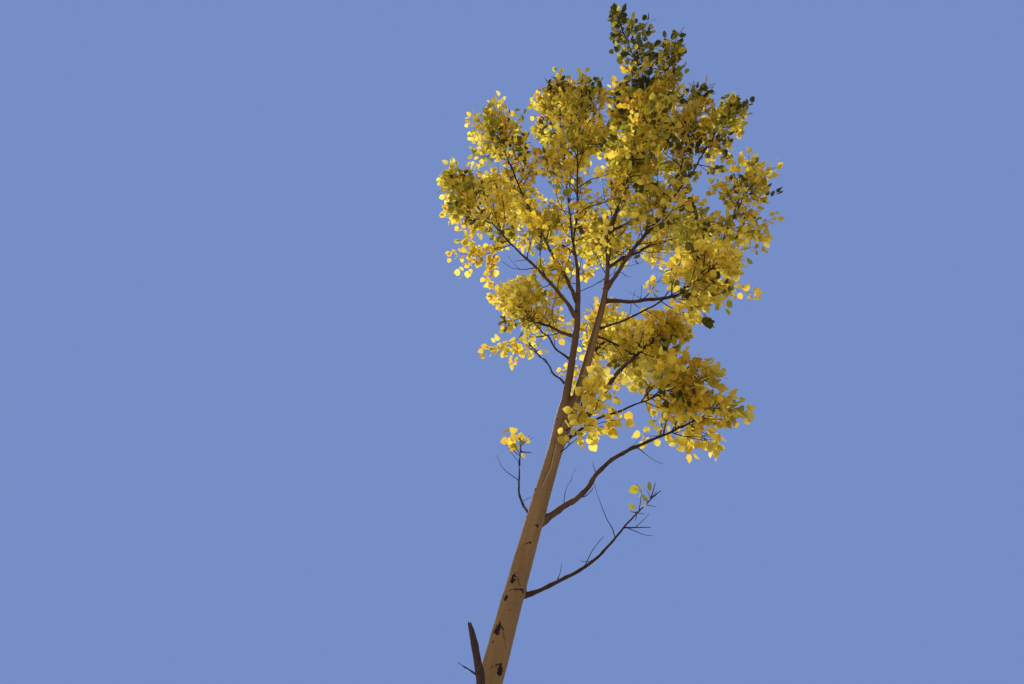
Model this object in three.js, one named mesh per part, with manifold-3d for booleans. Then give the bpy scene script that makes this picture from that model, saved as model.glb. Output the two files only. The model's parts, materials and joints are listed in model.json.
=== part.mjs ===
// A young poplar of a mountain grove in autumn leaf: one trunk that forks into two stems, crooked boughs
// that rise from them, and a mass of leafy twigs at the end of each bough.
// Millimetres and degrees, +Z up. The origin is the centre of the flat cut under the trunk, at ground level.
// A heading is counted from +X towards +Y, and a rise from level ground. Who faces the tree looks along +Y.
import * as THREE from 'three';
import { mergeVertices } from 'three/addons/utils/BufferGeometryUtils.js';
import Module from 'manifold-3d';

const wasm = await Module();
wasm.setup();

// Trunk
const forkHeight = 3120;
const trunkLean = 90; // sideways, at the fork
const trunkSway = 12; // towards the far side and back again
const trunkSides = 16;
const trunkRings = 14;
const ringCrowding = 1.8; // how much closer the rings are at the foot
const footRadius = 63; // without its flare
const trunkTaper = 0.009; // radius lost for each millimetre of height
const flareRadius = 40; // added at ground level
const flareHeight = 130;
const rootRidges = 5;
const ridgeDepth = 0.16;
const forkSwelling = 400; // the stretch below the fork over which the trunk widens
const stemSpacing = 57; // between the two stems where they leave the trunk
const stemSides = 8;
const stemSteps = 14;
const stemCrook = 2; // degrees that a limb may bend aside at each step
const boughSides = 5;
const boughSteps = 5;
const boughCrook = 7;
const leafySteps = 2; // at a bough's end, that its mass takes over
const collarShare = 0.12; // of a bough, over which it thickens towards its root
const collarSwelling = 0.5;
const massSteps = 4;

// Joins
const joinGap = 0.3; // between a limb and what it grows from
const cutGap = 0.5; // the same where a limb is cut round its parent's facets
const limbClearance = 8; // between a leaf or twig and any limb
const spaceGap = 0.05; // between the spaces of two masses, as a share of their reach
const tipTaper = 0.4; // how much narrower a mass's space is at its tip

// Leaves: each blade stands for a spray of real leaves
const sprayLength = 300;
const sprayWidth = 250;
const sprayThickness = 9;
const sprayShoulder = 0.4; // where a blade is widest, as a share of its length
const sprayNeck = 0.12; // where it is thickest, close to its root so that the root holds
const spraySizes = [1.1, 0.95, 0.8, 0.65, 0.5]; // tried in turn, until one fits in the mass's own space
const twigRadius = [6, 4];
const goldenAngle = 137.508;

// How twigs branch from a mass's stem, and blades from a twig. Places are shares of the stem or twig,
// lengths shares of the mass's reach, spreads degrees off the stem. A turn is the side a blade takes.
const twigRule = {
  first: 0.1, firstOnStem: 0.25, last: 0.92, spread: [64, 40], length: [0.6, 0.42],
  vigour: [0.85, 1.15], shortest: 60, shrink: 0.85,
};
const bladesOnTwig = [{ at: 0.45, turn: 1 }, { at: 0.8, turn: -1 }, { at: 1, turn: 0 }];
const bladesAtEnd = [{ at: 1, turn: 0 }, { at: 0.3, turn: 1 }];
// How a blade is turned aside, how much it rises or droops, how it tilts, and the part of it that may touch.
const bladeRule = { aside: [0.8, 1.2], droop: [-0.3, 0.3], tilt: [-0.9, 0.9], root: 0.25, middle: 0.4 };
// Where each kind of choice starts in a mass's own row of repeatable numbers.
const choices = { blades: 0, length: 700, end: 800, turn: 900 };

// A limb sets off from `on` at `height`. Its headings and rises are spread evenly along its length.
// `foliage` is the mass at its tip: how long its stem is, how far it reaches, its twigs and how it ends.
// A `bare` bough has its mass only beyond its tip.
const stems = [
  { name: 'main_stem', offset: 0.5, length: 4480, radius: [28, 26, 22, 15, 13, 12, 11, 10, 9, 8, 7],
    heading: [342, 340, 165, 310, 286, 236, 230, 206], rise: [86, 86, 85, 77, 74, 74, 72, 68],
    foliage: { length: 760, reach: 340, twigs: 6, heading: 210, rise: 68 } },
  { name: 'side_stem', offset: -0.5, length: 2900, radius: [24, 22, 18, 11, 9, 8, 7],
    heading: [190, 180, 206, 214, 226], rise: [88, 84, 72, 71, 68],
    foliage: { length: 620, reach: 470, twigs: 6, heading: 230, rise: 70 } },
];
const boughs = [
  // low on the trunk, thin and nearly bare in the shade, under them one that died and broke off
  { name: 'broken_stub', bare: true, on: 'trunk', height: 1510, length: 415, radius: [17, 15, 10],
    heading: [266, 252, 178], rise: [44, 50, 54] },
  { name: 'lowest_right_bough', bare: true, on: 'trunk', height: 2018, length: 680, radius: [9, 5],
    heading: [6, 30], rise: [34, 58],
    foliage: { length: 340, reach: 240, twigs: 3, heading: 20, rise: 50 } },
  { name: 'long_right_bough', bare: true, on: 'trunk', height: 2340, length: 880, radius: [15, 8],
    heading: [14, 12, -14], rise: [50, 64, 34],
    foliage: { length: 480, reach: 360, twigs: 6, heading: -12, rise: 40 } },
  { name: 'low_left_bough', bare: true, on: 'trunk', height: 2380, length: 480, radius: [7, 4],
    heading: [132, 108], rise: [38, 66],
    foliage: { length: 300, reach: 220, twigs: 3, heading: 120, rise: 60 } },
  { name: 'middle_right_bough', bare: true, on: 'trunk', height: 2960, length: 760, radius: [18, 10],
    heading: [8, 8], rise: [42, 76, 56],
    foliage: { length: 440, reach: 440, twigs: 6, heading: 2, rise: 50 } },
  { name: 'leafy_right_bough', bare: true, on: 'trunk', height: 2800, length: 520, radius: [8, 5],
    heading: [338, 350], rise: [48, 34],
    foliage: { length: 380, reach: 380, twigs: 6, heading: 350, rise: 30 } },
  { name: 'bare_left_bough', bare: true, on: 'side_stem', height: 3230, length: 420, radius: [6, 4],
    heading: [145, 135], rise: [45, 54],
    foliage: { length: 280, reach: 220, twigs: 3, heading: 130, rise: 55 } },
  { name: 'crooked_left_bough', bare: true, on: 'side_stem', height: 3440, length: 520, radius: [7, 4],
    heading: [158, 146], rise: [46, 56],
    foliage: { length: 360, reach: 280, twigs: 4, heading: 150, rise: 50 } },
  // the spread of the crown, seen from the front
  { name: 'outer_left_bough', on: 'side_stem', height: 3840, length: 1150, radius: [13, 7],
    heading: [190, 178], rise: [50, 38],
    foliage: { length: 600, reach: 520, twigs: 8, heading: 184, rise: 46 } },
  { name: 'upper_left_bough', on: 'side_stem', height: 3990, length: 1500, radius: [13, 7],
    heading: [176, 208], rise: [58, 62],
    foliage: { length: 680, reach: 500, twigs: 7, heading: 204, rise: 64 } },
  { name: 'outer_right_bough', on: 'main_stem', height: 4040, length: 940, radius: [13, 7],
    heading: [352, 346, 300], rise: [10, 16, 78],
    foliage: { length: 880, reach: 430, twigs: 6, heading: 298, rise: 72 } },
  { name: 'upper_right_bough', on: 'main_stem', height: 4160, length: 1760, radius: [14, 7],
    heading: [324, 318], rise: [66, 63],
    foliage: { length: 620, reach: 420, twigs: 6, heading: 322, rise: 62 } },
  { name: 'short_right_bough', bare: true, on: 'main_stem', height: 3760, length: 460, radius: [7, 5],
    heading: [336, 316], rise: [18, 28],
    foliage: { length: 380, reach: 420, twigs: 4, heading: 316, rise: 34 } },
  { name: 'thin_right_bough', bare: true, on: 'main_stem', height: 3700, length: 520, radius: [7, 5],
    heading: [30, 62], rise: [26, 38],
    foliage: { length: 360, reach: 420, twigs: 5, heading: 52, rise: 44 } },
  { name: 'forked_right_bough', on: 'main_stem', height: 4850, length: 1000, radius: [10, 6],
    heading: [344, 276], rise: [34, 62],
    foliage: { length: 560, reach: 440, twigs: 6, heading: 282, rise: 70 } },
  { name: 'front_top_bough', on: 'main_stem', height: 5560, length: 900, radius: [8, 6],
    heading: [296, 270], rise: [52, 60],
    foliage: { length: 580, reach: 340, twigs: 6, heading: 274, rise: 62 } },
  // the far side and the near side
  { name: 'low_back_left_bough', on: 'side_stem', height: 3650, length: 1000, radius: [11, 6],
    heading: [132, 118], rise: [46, 52],
    foliage: { length: 700, reach: 520, twigs: 6, heading: 124, rise: 60 } },
  { name: 'low_back_bough', on: 'main_stem', height: 3560, length: 1000, radius: [11, 6],
    heading: [84, 70], rise: [48, 54],
    foliage: { length: 700, reach: 520, twigs: 6, heading: 66, rise: 62 } },
  { name: 'upper_back_right_bough', on: 'main_stem', height: 4420, length: 1260, radius: [11, 6],
    heading: [24, 34], rise: [57, 58],
    foliage: { length: 740, reach: 520, twigs: 6, heading: 30, rise: 68 } },
  { name: 'upper_back_bough', on: 'main_stem', height: 4620, length: 1420, radius: [11, 6],
    heading: [104, 84], rise: [60, 62],
    foliage: { length: 780, reach: 520, twigs: 6, heading: 90, rise: 70 } },
  { name: 'upper_back_left_bough', on: 'side_stem', height: 4500, length: 1240, radius: [8, 5],
    heading: [148, 134], rise: [56, 60],
    foliage: { length: 740, reach: 520, twigs: 6, heading: 140, rise: 68 } },
  { name: 'front_left_bough', on: 'side_stem', height: 4660, length: 820, radius: [8, 5],
    heading: [262, 240], rise: [40, 62],
    foliage: { length: 560, reach: 480, twigs: 5, heading: 244, rise: 64 } },
  { name: 'front_bough', on: 'main_stem', height: 4760, length: 700, radius: [9, 6],
    heading: [276, 280], rise: [38, 60],
    foliage: { length: 560, reach: 480, twigs: 6, heading: 276, rise: 62 } },
  { name: 'top_back_bough', on: 'main_stem', height: 5900, length: 760, radius: [8, 5],
    heading: [128, 142], rise: [56, 62],
    foliage: { length: 560, reach: 440, twigs: 4, heading: 136, rise: 66 } },
];
// Short shoots that clothe the upper part of the main stem, one every turn of the golden angle.
const topShoots = {
  count: 6, low: 5750, high: 7300, heading: 60, rise: [52, 70],
  length: [460, 300], reach: [440, 320], twigs: 3,
};

const barkPale = new THREE.MeshStandardMaterial({ color: 0xa6906c, roughness: 0.8, metalness: 0 });
const barkDark = new THREE.MeshStandardMaterial({ color: 0x4a3a2a, roughness: 0.85, metalness: 0 });
// The masses take these in turn.
const autumnTints = [0xe3c62a, 0xd9a516, 0xc98a1b, 0x9a9222, 0x7c7a20].map((color) => (
  new THREE.MeshStandardMaterial({ color, roughness: 0.55, metalness: 0 })
));

const upwards = new THREE.Vector3(0, 0, 1);
const radians = THREE.MathUtils.degToRad;
const lerp = THREE.MathUtils.lerp;

// A repeatable number from 0 to 1 for the nth choice of a limb or mass.
function chance(seed, n) {
  const wave = Math.sin(seed * 12.9898 + n * 78.233) * 43758.5453;
  return wave - Math.floor(wave);
}

// The value at a share of a list whose values are spread evenly.
function along(values, share) {
  const place = share * (values.length - 1);
  const before = Math.min(Math.floor(place), Math.max(values.length - 2, 0));
  return lerp(values[before], values[Math.min(before + 1, values.length - 1)], place - before);
}

function bearing(heading, rise) {
  const level = Math.cos(radians(rise));
  return new THREE.Vector3(
    level * Math.cos(radians(heading)), level * Math.sin(radians(heading)), Math.sin(radians(rise)));
}

// The centre line of a limb, bent a little at each step as real ones are.
function centreLine(start, limb, seed, steps, crook) {
  const points = [start.clone()];
  for (let i = 0; i < steps; i++) {
    const share = (i + 0.5) / steps;
    const heading = along(limb.heading, share) + crook * (2 * chance(seed, 2 * i) - 1);
    const rise = along(limb.rise, share) + crook * (2 * chance(seed, 2 * i + 1) - 1);
    points.push(points[i].clone().addScaledVector(bearing(heading, rise), limb.length / steps));
  }
  return points;
}

// The point and direction at a share of a centre line.
function placeOn(points, share) {
  const place = share * (points.length - 1);
  const before = Math.min(Math.floor(place), points.length - 2);
  return {
    point: points[before].clone().lerp(points[before + 1], place - before),
    direction: points[before + 1].clone().sub(points[before]).normalize(),
  };
}

function shareAtHeight(points, height) {
  const above = Math.max(points.findIndex((p) => p.z > height), 1);
  const part = (height - points[above - 1].z) / (points[above].z - points[above - 1].z);
  return (above - 1 + part) / (points.length - 1);
}

// A three.js cylinder bent along a centre line. radiusAt(share, angle) gives its surface, and `square` the
// directions that its end faces look along where they differ from the line's own.
function bentTube(points, radiusAt, sides, square = {}) {
  const steps = points.length - 1;
  const tube = new THREE.CylinderGeometry(1, 1, 1, sides, steps);
  const tangents = points.map((p, i) => {
    const ahead = points[Math.min(i + 1, steps)];
    return ahead.clone().sub(points[Math.max(i - 1, 0)]).normalize();
  });
  if (square.foot) tangents[0].copy(square.foot);
  if (square.top) tangents[steps].copy(square.top);
  const sideways = [];
  let last = Math.abs(tangents[0].x) < 0.9 ? new THREE.Vector3(1, 0, 0) : new THREE.Vector3(0, 1, 0);
  for (const tangent of tangents) {
    last = last.clone().addScaledVector(tangent, -last.dot(tangent)).normalize();
    sideways.push(last);
  }
  const at = tube.getAttribute('position');
  for (let i = 0; i < at.count; i++) {
    const ring = Math.round((at.getY(i) + 0.5) * steps);
    const angle = Math.atan2(at.getZ(i), at.getX(i));
    const radius = Math.hypot(at.getX(i), at.getZ(i)) * radiusAt(ring / steps, angle);
    const across = sideways[ring].clone().cross(tangents[ring]);
    const placed = points[ring].clone()
      .addScaledVector(sideways[ring], radius * Math.cos(angle))
      .addScaledVector(across, radius * Math.sin(angle));
    at.setXYZ(i, placed.x, placed.y, placed.z);
  }
  return tube;
}

function solidOf(geometry) {
  const bare = geometry.clone();
  bare.deleteAttribute('normal');
  bare.deleteAttribute('uv');
  const welded = mergeVertices(bare, 1e-3);
  return new wasm.Manifold(new wasm.Mesh({
    numProp: 3,
    vertProperties: welded.getAttribute('position').array,
    triVerts: new Uint32Array(welded.index.array),
  }));
}

function meshOf(solid, name, material) {
  const { vertProperties, triVerts } = solid.getMesh();
  const geometry = new THREE.BufferGeometry();
  geometry.setAttribute('position', new THREE.BufferAttribute(vertProperties, 3));
  geometry.setIndex(new THREE.BufferAttribute(triVerts, 1));
  geometry.computeVertexNormals();
  const mesh = new THREE.Mesh(geometry, material);
  mesh.name = name;
  return mesh;
}

// Trunk: a slight sweep to the right, ridged root flare, and a top that widens to carry two stems.
function trunkHeightAt(share) {
  return forkHeight * share ** ringCrowding;
}

function trunkCentre(height) {
  const share = height / forkHeight;
  return new THREE.Vector3(trunkLean * share ** 2.5, trunkSway * Math.sin(2 * Math.PI * share), height);
}

function trunkRadius(share, angle) {
  const height = trunkHeightAt(share);
  const flare = Math.exp(-height / flareHeight);
  const ridges = 1 + ridgeDepth * flare * Math.cos(rootRidges * angle + 0.6);
  const swelling = THREE.MathUtils.smoothstep(height, forkHeight - forkSwelling, forkHeight);
  const widening = 1 + swelling * (0.62 * Math.cos(angle) ** 2 - 0.05);
  return (footRadius - trunkTaper * height + flareRadius * flare) * ridges * widening;
}

const trunkShares = Array.from({ length: trunkRings + 1 }, (_, i) => i / trunkRings);
const trunkLine = trunkShares.map((share) => trunkCentre(trunkHeightAt(share)));
const limbs = new Map();
limbs.set('trunk', {
  name: 'trunk',
  points: trunkLine,
  radiusAt: trunkRadius,
  sides: trunkSides,
  solid: solidOf(bentTube(trunkLine, trunkRadius, trunkSides, { foot: upwards, top: upwards })),
  material: barkPale,
});

// Stems stand on the flat top of the trunk, side by side.
function growStem(stem, seed) {
  const start = trunkLine.at(-1).clone();
  start.x += stem.offset * stemSpacing;
  start.z += joinGap;
  const points = centreLine(start, stem, seed, stemSteps, stemCrook);
  const radiusAt = (share) => along(stem.radius, share);
  const solid = solidOf(bentTube(points, radiusAt, stemSides, { foot: upwards }));
  return { ...stem, points, radiusAt, sides: stemSides, solid, material: barkPale };
}

// Scraps that a cut leaves loose, and hollows that fusing seals, are dropped.
function largest(solid) {
  return solid.decompose().reduce((best, next) => (next.volume() > best.volume() ? next : best));
}

// A limb's own tube, made wider, is what its boughs are cut back by.
function grown(limb) {
  return solidOf(bentTube(limb.points, (share, angle) => limb.radiusAt(share, angle) + cutGap, limb.sides));
}

function growBough(bough, seed) {
  const parent = limbs.get(bough.on);
  const start = placeOn(parent.points, shareAtHeight(parent.points, bough.height)).point;
  const whole = centreLine(start, bough, seed, boughSteps, boughCrook);
  const bareSteps = bough.bare ? boughSteps : boughSteps - leafySteps;
  const points = whole.slice(0, bareSteps + 1);
  const radiusAt = (share) => {
    const part = share * bareSteps / boughSteps;
    return along(bough.radius, part) * (1 + collarSwelling * Math.max(0, 1 - part / collarShare));
  };
  const solid = solidOf(bentTube(points, radiusAt, boughSides)).subtract(grown(parent));
  const beyond = whole.slice(bareSteps);
  return { ...bough, points, beyond, radiusAt, sides: boughSides, solid: largest(solid), material: barkDark };
}

stems.forEach((stem, i) => limbs.set(stem.name, growStem(stem, 11 + i)));
boughs.forEach((bough, i) => limbs.set(bough.name, growBough(bough, 31 + i)));

// Masses of foliage: one stem each, which goes on from a limb's tip or sets off from the main stem.
function tipMass(limb, seed) {
  const { foliage, beyond = limb.points.slice(-1) } = limb;
  const { direction } = placeOn(limb.points.concat(beyond.slice(1)), 1);
  const heading = THREE.MathUtils.radToDeg(Math.atan2(direction.y, direction.x));
  const rise = THREE.MathUtils.radToDeg(Math.asin(direction.z));
  const turn = THREE.MathUtils.euclideanModulo(foliage.heading - heading + 180, 360) - 180;
  const line = {
    length: foliage.length, heading: [heading, heading, heading + turn], rise: [rise, rise, foliage.rise],
  };
  const points = beyond.slice(0, -1).concat(centreLine(beyond.at(-1), line, seed, massSteps, 0));
  const foot = placeOn(limb.points, 1).direction;
  points[0] = points[0].clone().addScaledVector(foot, joinGap);
  return {
    name: `${limb.name.replace(/_(bough|stem)$/, '')}_foliage`,
    points, foot, radius: limb.radiusAt(1), reach: foliage.reach,
    twigs: foliage.twigs, seed, cutBy: null,
  };
}

function shootMass(i, seed) {
  const parent = limbs.get('main_stem');
  const share = i / (topShoots.count - 1);
  const height = lerp(topShoots.low, topShoots.high, share);
  const heading = topShoots.heading + i * goldenAngle;
  const line = { length: along(topShoots.length, share), heading: [heading, heading], rise: topShoots.rise };
  const start = placeOn(parent.points, shareAtHeight(parent.points, height)).point;
  return {
    name: `top_shoot_${i + 1}_foliage`,
    points: centreLine(start, line, seed, massSteps, 0), radius: twigRadius[0],
    reach: along(topShoots.reach, share), twigs: topShoots.twigs, seed, cutBy: parent,
  };
}

const masses = [
  ...[...limbs.values()].filter((limb) => limb.foliage).map((limb, i) => tipMass(limb, 71 + i)),
  ...Array.from({ length: topShoots.count }, (_, i) => shootMass(i, 111 + i)),
];

// How far a point is from a centre line, and at which share of the line that is.
function nearestOn(points, p) {
  const nearest = new THREE.Vector3();
  const best = { distance: Infinity, share: 0 };
  for (let i = 0; i + 1 < points.length; i++) {
    const line = new THREE.Line3(points[i], points[i + 1]);
    const part = line.closestPointToPointParameter(p, true);
    const distance = line.at(part, nearest).distanceTo(p);
    const share = (i + part) / (points.length - 1);
    if (distance < best.distance) Object.assign(best, { distance, share });
  }
  return best;
}

// A point is free for a mass if it is within reach, which narrows towards the tip, nearer to this stem than
// to any other, and off every limb.
function isFree(p, mass) {
  const nearest = nearestOn(mass.points, p);
  const own = nearest.distance / mass.reach;
  if (own > 1 - tipTaper * nearest.share) return false;
  for (const other of masses) {
    if (other === mass) continue;
    if (nearestOn(other.points, p).distance / other.reach < own + spaceGap) return false;
  }
  for (const limb of limbs.values()) {
    const { distance, share } = nearestOn(limb.points, p);
    if (distance < limb.radiusAt(share, 0) + limbClearance) return false;
  }
  return true;
}

// A flat kite that grows from the middle of its twig: an octahedron, so a blade of eight faces.
function blade(root, direction, normal, size) {
  const side = direction.clone().cross(normal).normalize();
  const face = direction.clone().cross(side);
  const geometry = new THREE.OctahedronGeometry(1);
  const at = geometry.getAttribute('position');
  for (let i = 0; i < at.count; i++) {
    const middle = Math.abs(at.getY(i)) > 0.5 ? sprayShoulder : sprayNeck;
    const lengthwise = Math.abs(at.getX(i)) > 0.5 ? (at.getX(i) + 1) / 2 : middle;
    const placed = root.clone()
      .addScaledVector(direction, lengthwise * sprayLength * size)
      .addScaledVector(side, at.getY(i) * 0.5 * sprayWidth * size)
      .addScaledVector(face, at.getZ(i) * 0.5 * sprayThickness);
    at.setXYZ(i, placed.x, placed.y, placed.z);
  }
  return geometry;
}

// A blade is tried at its corners, except the root, and between them and the root.
function bladeIsFree(geometry, root, mass) {
  const at = geometry.getAttribute('position');
  const corner = new THREE.Vector3();
  for (let i = 0; i < at.count; i++) {
    corner.fromBufferAttribute(at, i);
    if (corner.distanceTo(root) < sprayLength * bladeRule.root) continue;
    const between = corner.clone().lerp(root, bladeRule.middle);
    if (!isFree(corner, mass) || !isFree(between, mass)) return false;
  }
  return true;
}

// The largest blade that fits at a share of a twig, turned aside by `turn`.
function bladeOn(twig, share, turn, mass, choice) {
  const pick = (n, range) => lerp(...range, chance(mass.seed, choice + n));
  const { point, direction } = placeOn(twig, share);
  const sideways = direction.clone().cross(upwards).normalize();
  const ahead = direction.clone().addScaledVector(sideways, turn * pick(1, bladeRule.aside));
  ahead.z += pick(2, bladeRule.droop);
  ahead.normalize();
  const normal = new THREE.Vector3(pick(3, bladeRule.tilt), pick(4, bladeRule.tilt), 1);
  for (const size of spraySizes) {
    const geometry = blade(point, ahead, normal, size);
    if (bladeIsFree(geometry, point, mass)) return [geometry];
  }
  return [];
}

function bladesOf(twig, places, mass, choice) {
  return places.flatMap(({ at, turn }, i) => bladeOn(twig, at, turn, mass, choice + 10 * i));
}

// A twig and its blades, or nothing where the mass's own space has no room for it.
function growTwig(i, mass) {
  const first = mass.cutBy ? twigRule.firstOnStem : twigRule.first;
  const share = lerp(first, twigRule.last, i / (mass.twigs - 1));
  const { point, direction } = placeOn(mass.points, share);
  const turn = radians(i * goldenAngle + 360 * chance(mass.seed, choices.turn));
  const out = new THREE.Vector3(1, 0, 0).cross(direction).normalize().applyAxisAngle(direction, turn);
  const spread = radians(along(twigRule.spread, share));
  const course = direction.clone().multiplyScalar(Math.cos(spread)).addScaledVector(out, Math.sin(spread));
  const vigour = lerp(...twigRule.vigour, chance(mass.seed, choices.length + i));
  let length = vigour * mass.reach * along(twigRule.length, share);
  while (!isFree(point.clone().addScaledVector(course, length), mass)) {
    length *= twigRule.shrink;
    if (length < twigRule.shortest) return [];
  }
  const twig = [point, point.clone().addScaledVector(course, length)];
  const blades = bladesOf(twig, bladesOnTwig, mass, choices.blades + 40 * i);
  return blades.length ? [bentTube(twig, (s) => along(twigRadius, s), 3), ...blades] : [];
}

function growMass(mass) {
  const pieces = [bentTube(mass.points, (share) => lerp(mass.radius, twigRadius[1], share), 4, mass)];
  for (let i = 0; i < mass.twigs; i++) pieces.push(...growTwig(i, mass));
  pieces.push(...bladesOf(mass.points.slice(-2), bladesAtEnd, mass, choices.end));
  const solid = wasm.Manifold.union(pieces.map(solidOf));
  return largest(mass.cutBy ? solid.subtract(grown(mass.cutBy)) : solid);
}

const tree = new THREE.Group();
for (const limb of limbs.values()) tree.add(meshOf(limb.solid, limb.name, limb.material));
masses.forEach((mass, i) => {
  tree.add(meshOf(growMass(mass), mass.name, autumnTints[i % autumnTints.length]));
});

export default tree;
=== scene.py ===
import json
import math
import bmesh
import bpy
import numpy as np
from mathutils import Matrix, Vector, noise

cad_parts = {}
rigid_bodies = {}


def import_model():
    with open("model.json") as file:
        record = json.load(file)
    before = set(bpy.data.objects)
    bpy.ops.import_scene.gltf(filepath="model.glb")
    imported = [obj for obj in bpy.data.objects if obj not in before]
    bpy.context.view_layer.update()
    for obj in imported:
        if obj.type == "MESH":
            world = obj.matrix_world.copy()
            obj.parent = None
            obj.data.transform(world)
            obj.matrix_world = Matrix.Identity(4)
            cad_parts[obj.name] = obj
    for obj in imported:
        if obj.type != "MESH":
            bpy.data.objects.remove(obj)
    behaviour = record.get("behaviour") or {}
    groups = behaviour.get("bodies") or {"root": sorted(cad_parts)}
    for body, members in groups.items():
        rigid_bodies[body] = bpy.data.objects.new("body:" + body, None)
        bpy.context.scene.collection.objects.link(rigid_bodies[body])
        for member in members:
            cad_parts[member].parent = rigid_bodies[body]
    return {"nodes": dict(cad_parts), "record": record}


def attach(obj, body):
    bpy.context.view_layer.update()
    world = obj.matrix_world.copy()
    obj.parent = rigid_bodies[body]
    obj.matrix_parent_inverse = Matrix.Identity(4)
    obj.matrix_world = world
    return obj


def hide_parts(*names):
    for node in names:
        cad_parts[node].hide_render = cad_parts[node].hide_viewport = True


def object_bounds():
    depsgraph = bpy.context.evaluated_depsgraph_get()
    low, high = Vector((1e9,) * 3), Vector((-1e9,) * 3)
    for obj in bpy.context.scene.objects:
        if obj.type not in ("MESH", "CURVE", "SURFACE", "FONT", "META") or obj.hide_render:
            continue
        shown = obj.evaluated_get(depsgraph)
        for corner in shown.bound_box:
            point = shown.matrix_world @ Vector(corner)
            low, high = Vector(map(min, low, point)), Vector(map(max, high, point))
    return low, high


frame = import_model()
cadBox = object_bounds()
scene = bpy.context.scene
up = np.array([0.0, 0.0, 1.0])
noise.seed_set(5)  # without a seed of its own the noise differs from run to run
print("poplar: frame loaded")

# The camera stands close under the tree and looks steeply up, a little turned on its own axis.
view = {
    "place": (0, -2.25, 1.25), "lens": 18, "sensor": 36,
    "right": (0.96530, -0.09527, 0.24315), "down": (0.23849, 0.70101, -0.67209),
    "ahead": (-0.10642, 0.70675, 0.69941),
}


def newObject(name, data):
    thing = bpy.data.objects.new(name, data)
    scene.collection.objects.link(thing)
    return thing


def setCamera():
    data = bpy.data.cameras.new("viewer")
    data.lens = view["lens"]
    data.sensor_width = view["sensor"]
    data.clip_end = 200
    camera = newObject("viewer", data)
    right, down, ahead = (Vector(view[side]).normalized() for side in ("right", "down", "ahead"))
    turn = Matrix((right, -down, -ahead)).transposed()
    camera.matrix_world = Matrix.Translation(view["place"]) @ turn.to_4x4()
    scene.camera = camera


setCamera()

# The limbs follow the rule of the source. A heading is counted from +X towards +Y and a rise from level
# ground, in degrees. The table is in millimetres, all that is worked out from it in metres.
mm = 0.001
goldenAngle = 137.508
trunkShape = {
    "forkHeight": 3.12, "lean": 0.09, "sway": 0.012, "rings": 14, "crowding": 1.8,
    "footRadius": 0.063, "taper": 0.009, "flareRadius": 0.04, "flareHeight": 0.13,
    "rootRidges": 5, "ridgeDepth": 0.16, "forkSwelling": 0.4, "stemSpacing": 0.057, "stemSteps": 14,
    "widening": (0.62, 0.05), "creaseLength": 0.55, "creaseDepth": 0.5,
}
# name, side of the fork, length, radii, headings, rises, then its foliage: length, reach, twigs, heading
# and rise
stemTable = [
    ("main_stem", 0.5, 4480, (28, 26, 22, 15, 13, 12, 11, 10, 9, 8, 7),
     (342, 340, 165, 310, 286, 236, 230, 206), (86, 86, 85, 77, 74, 74, 72, 68), (760, 340, 6, 210, 68)),
    ("side_stem", -0.5, 2900, (24, 22, 18, 11, 9, 8, 7), (190, 180, 206, 214, 226),
     (88, 84, 72, 71, 68), (620, 470, 6, 230, 70)),
]
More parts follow.
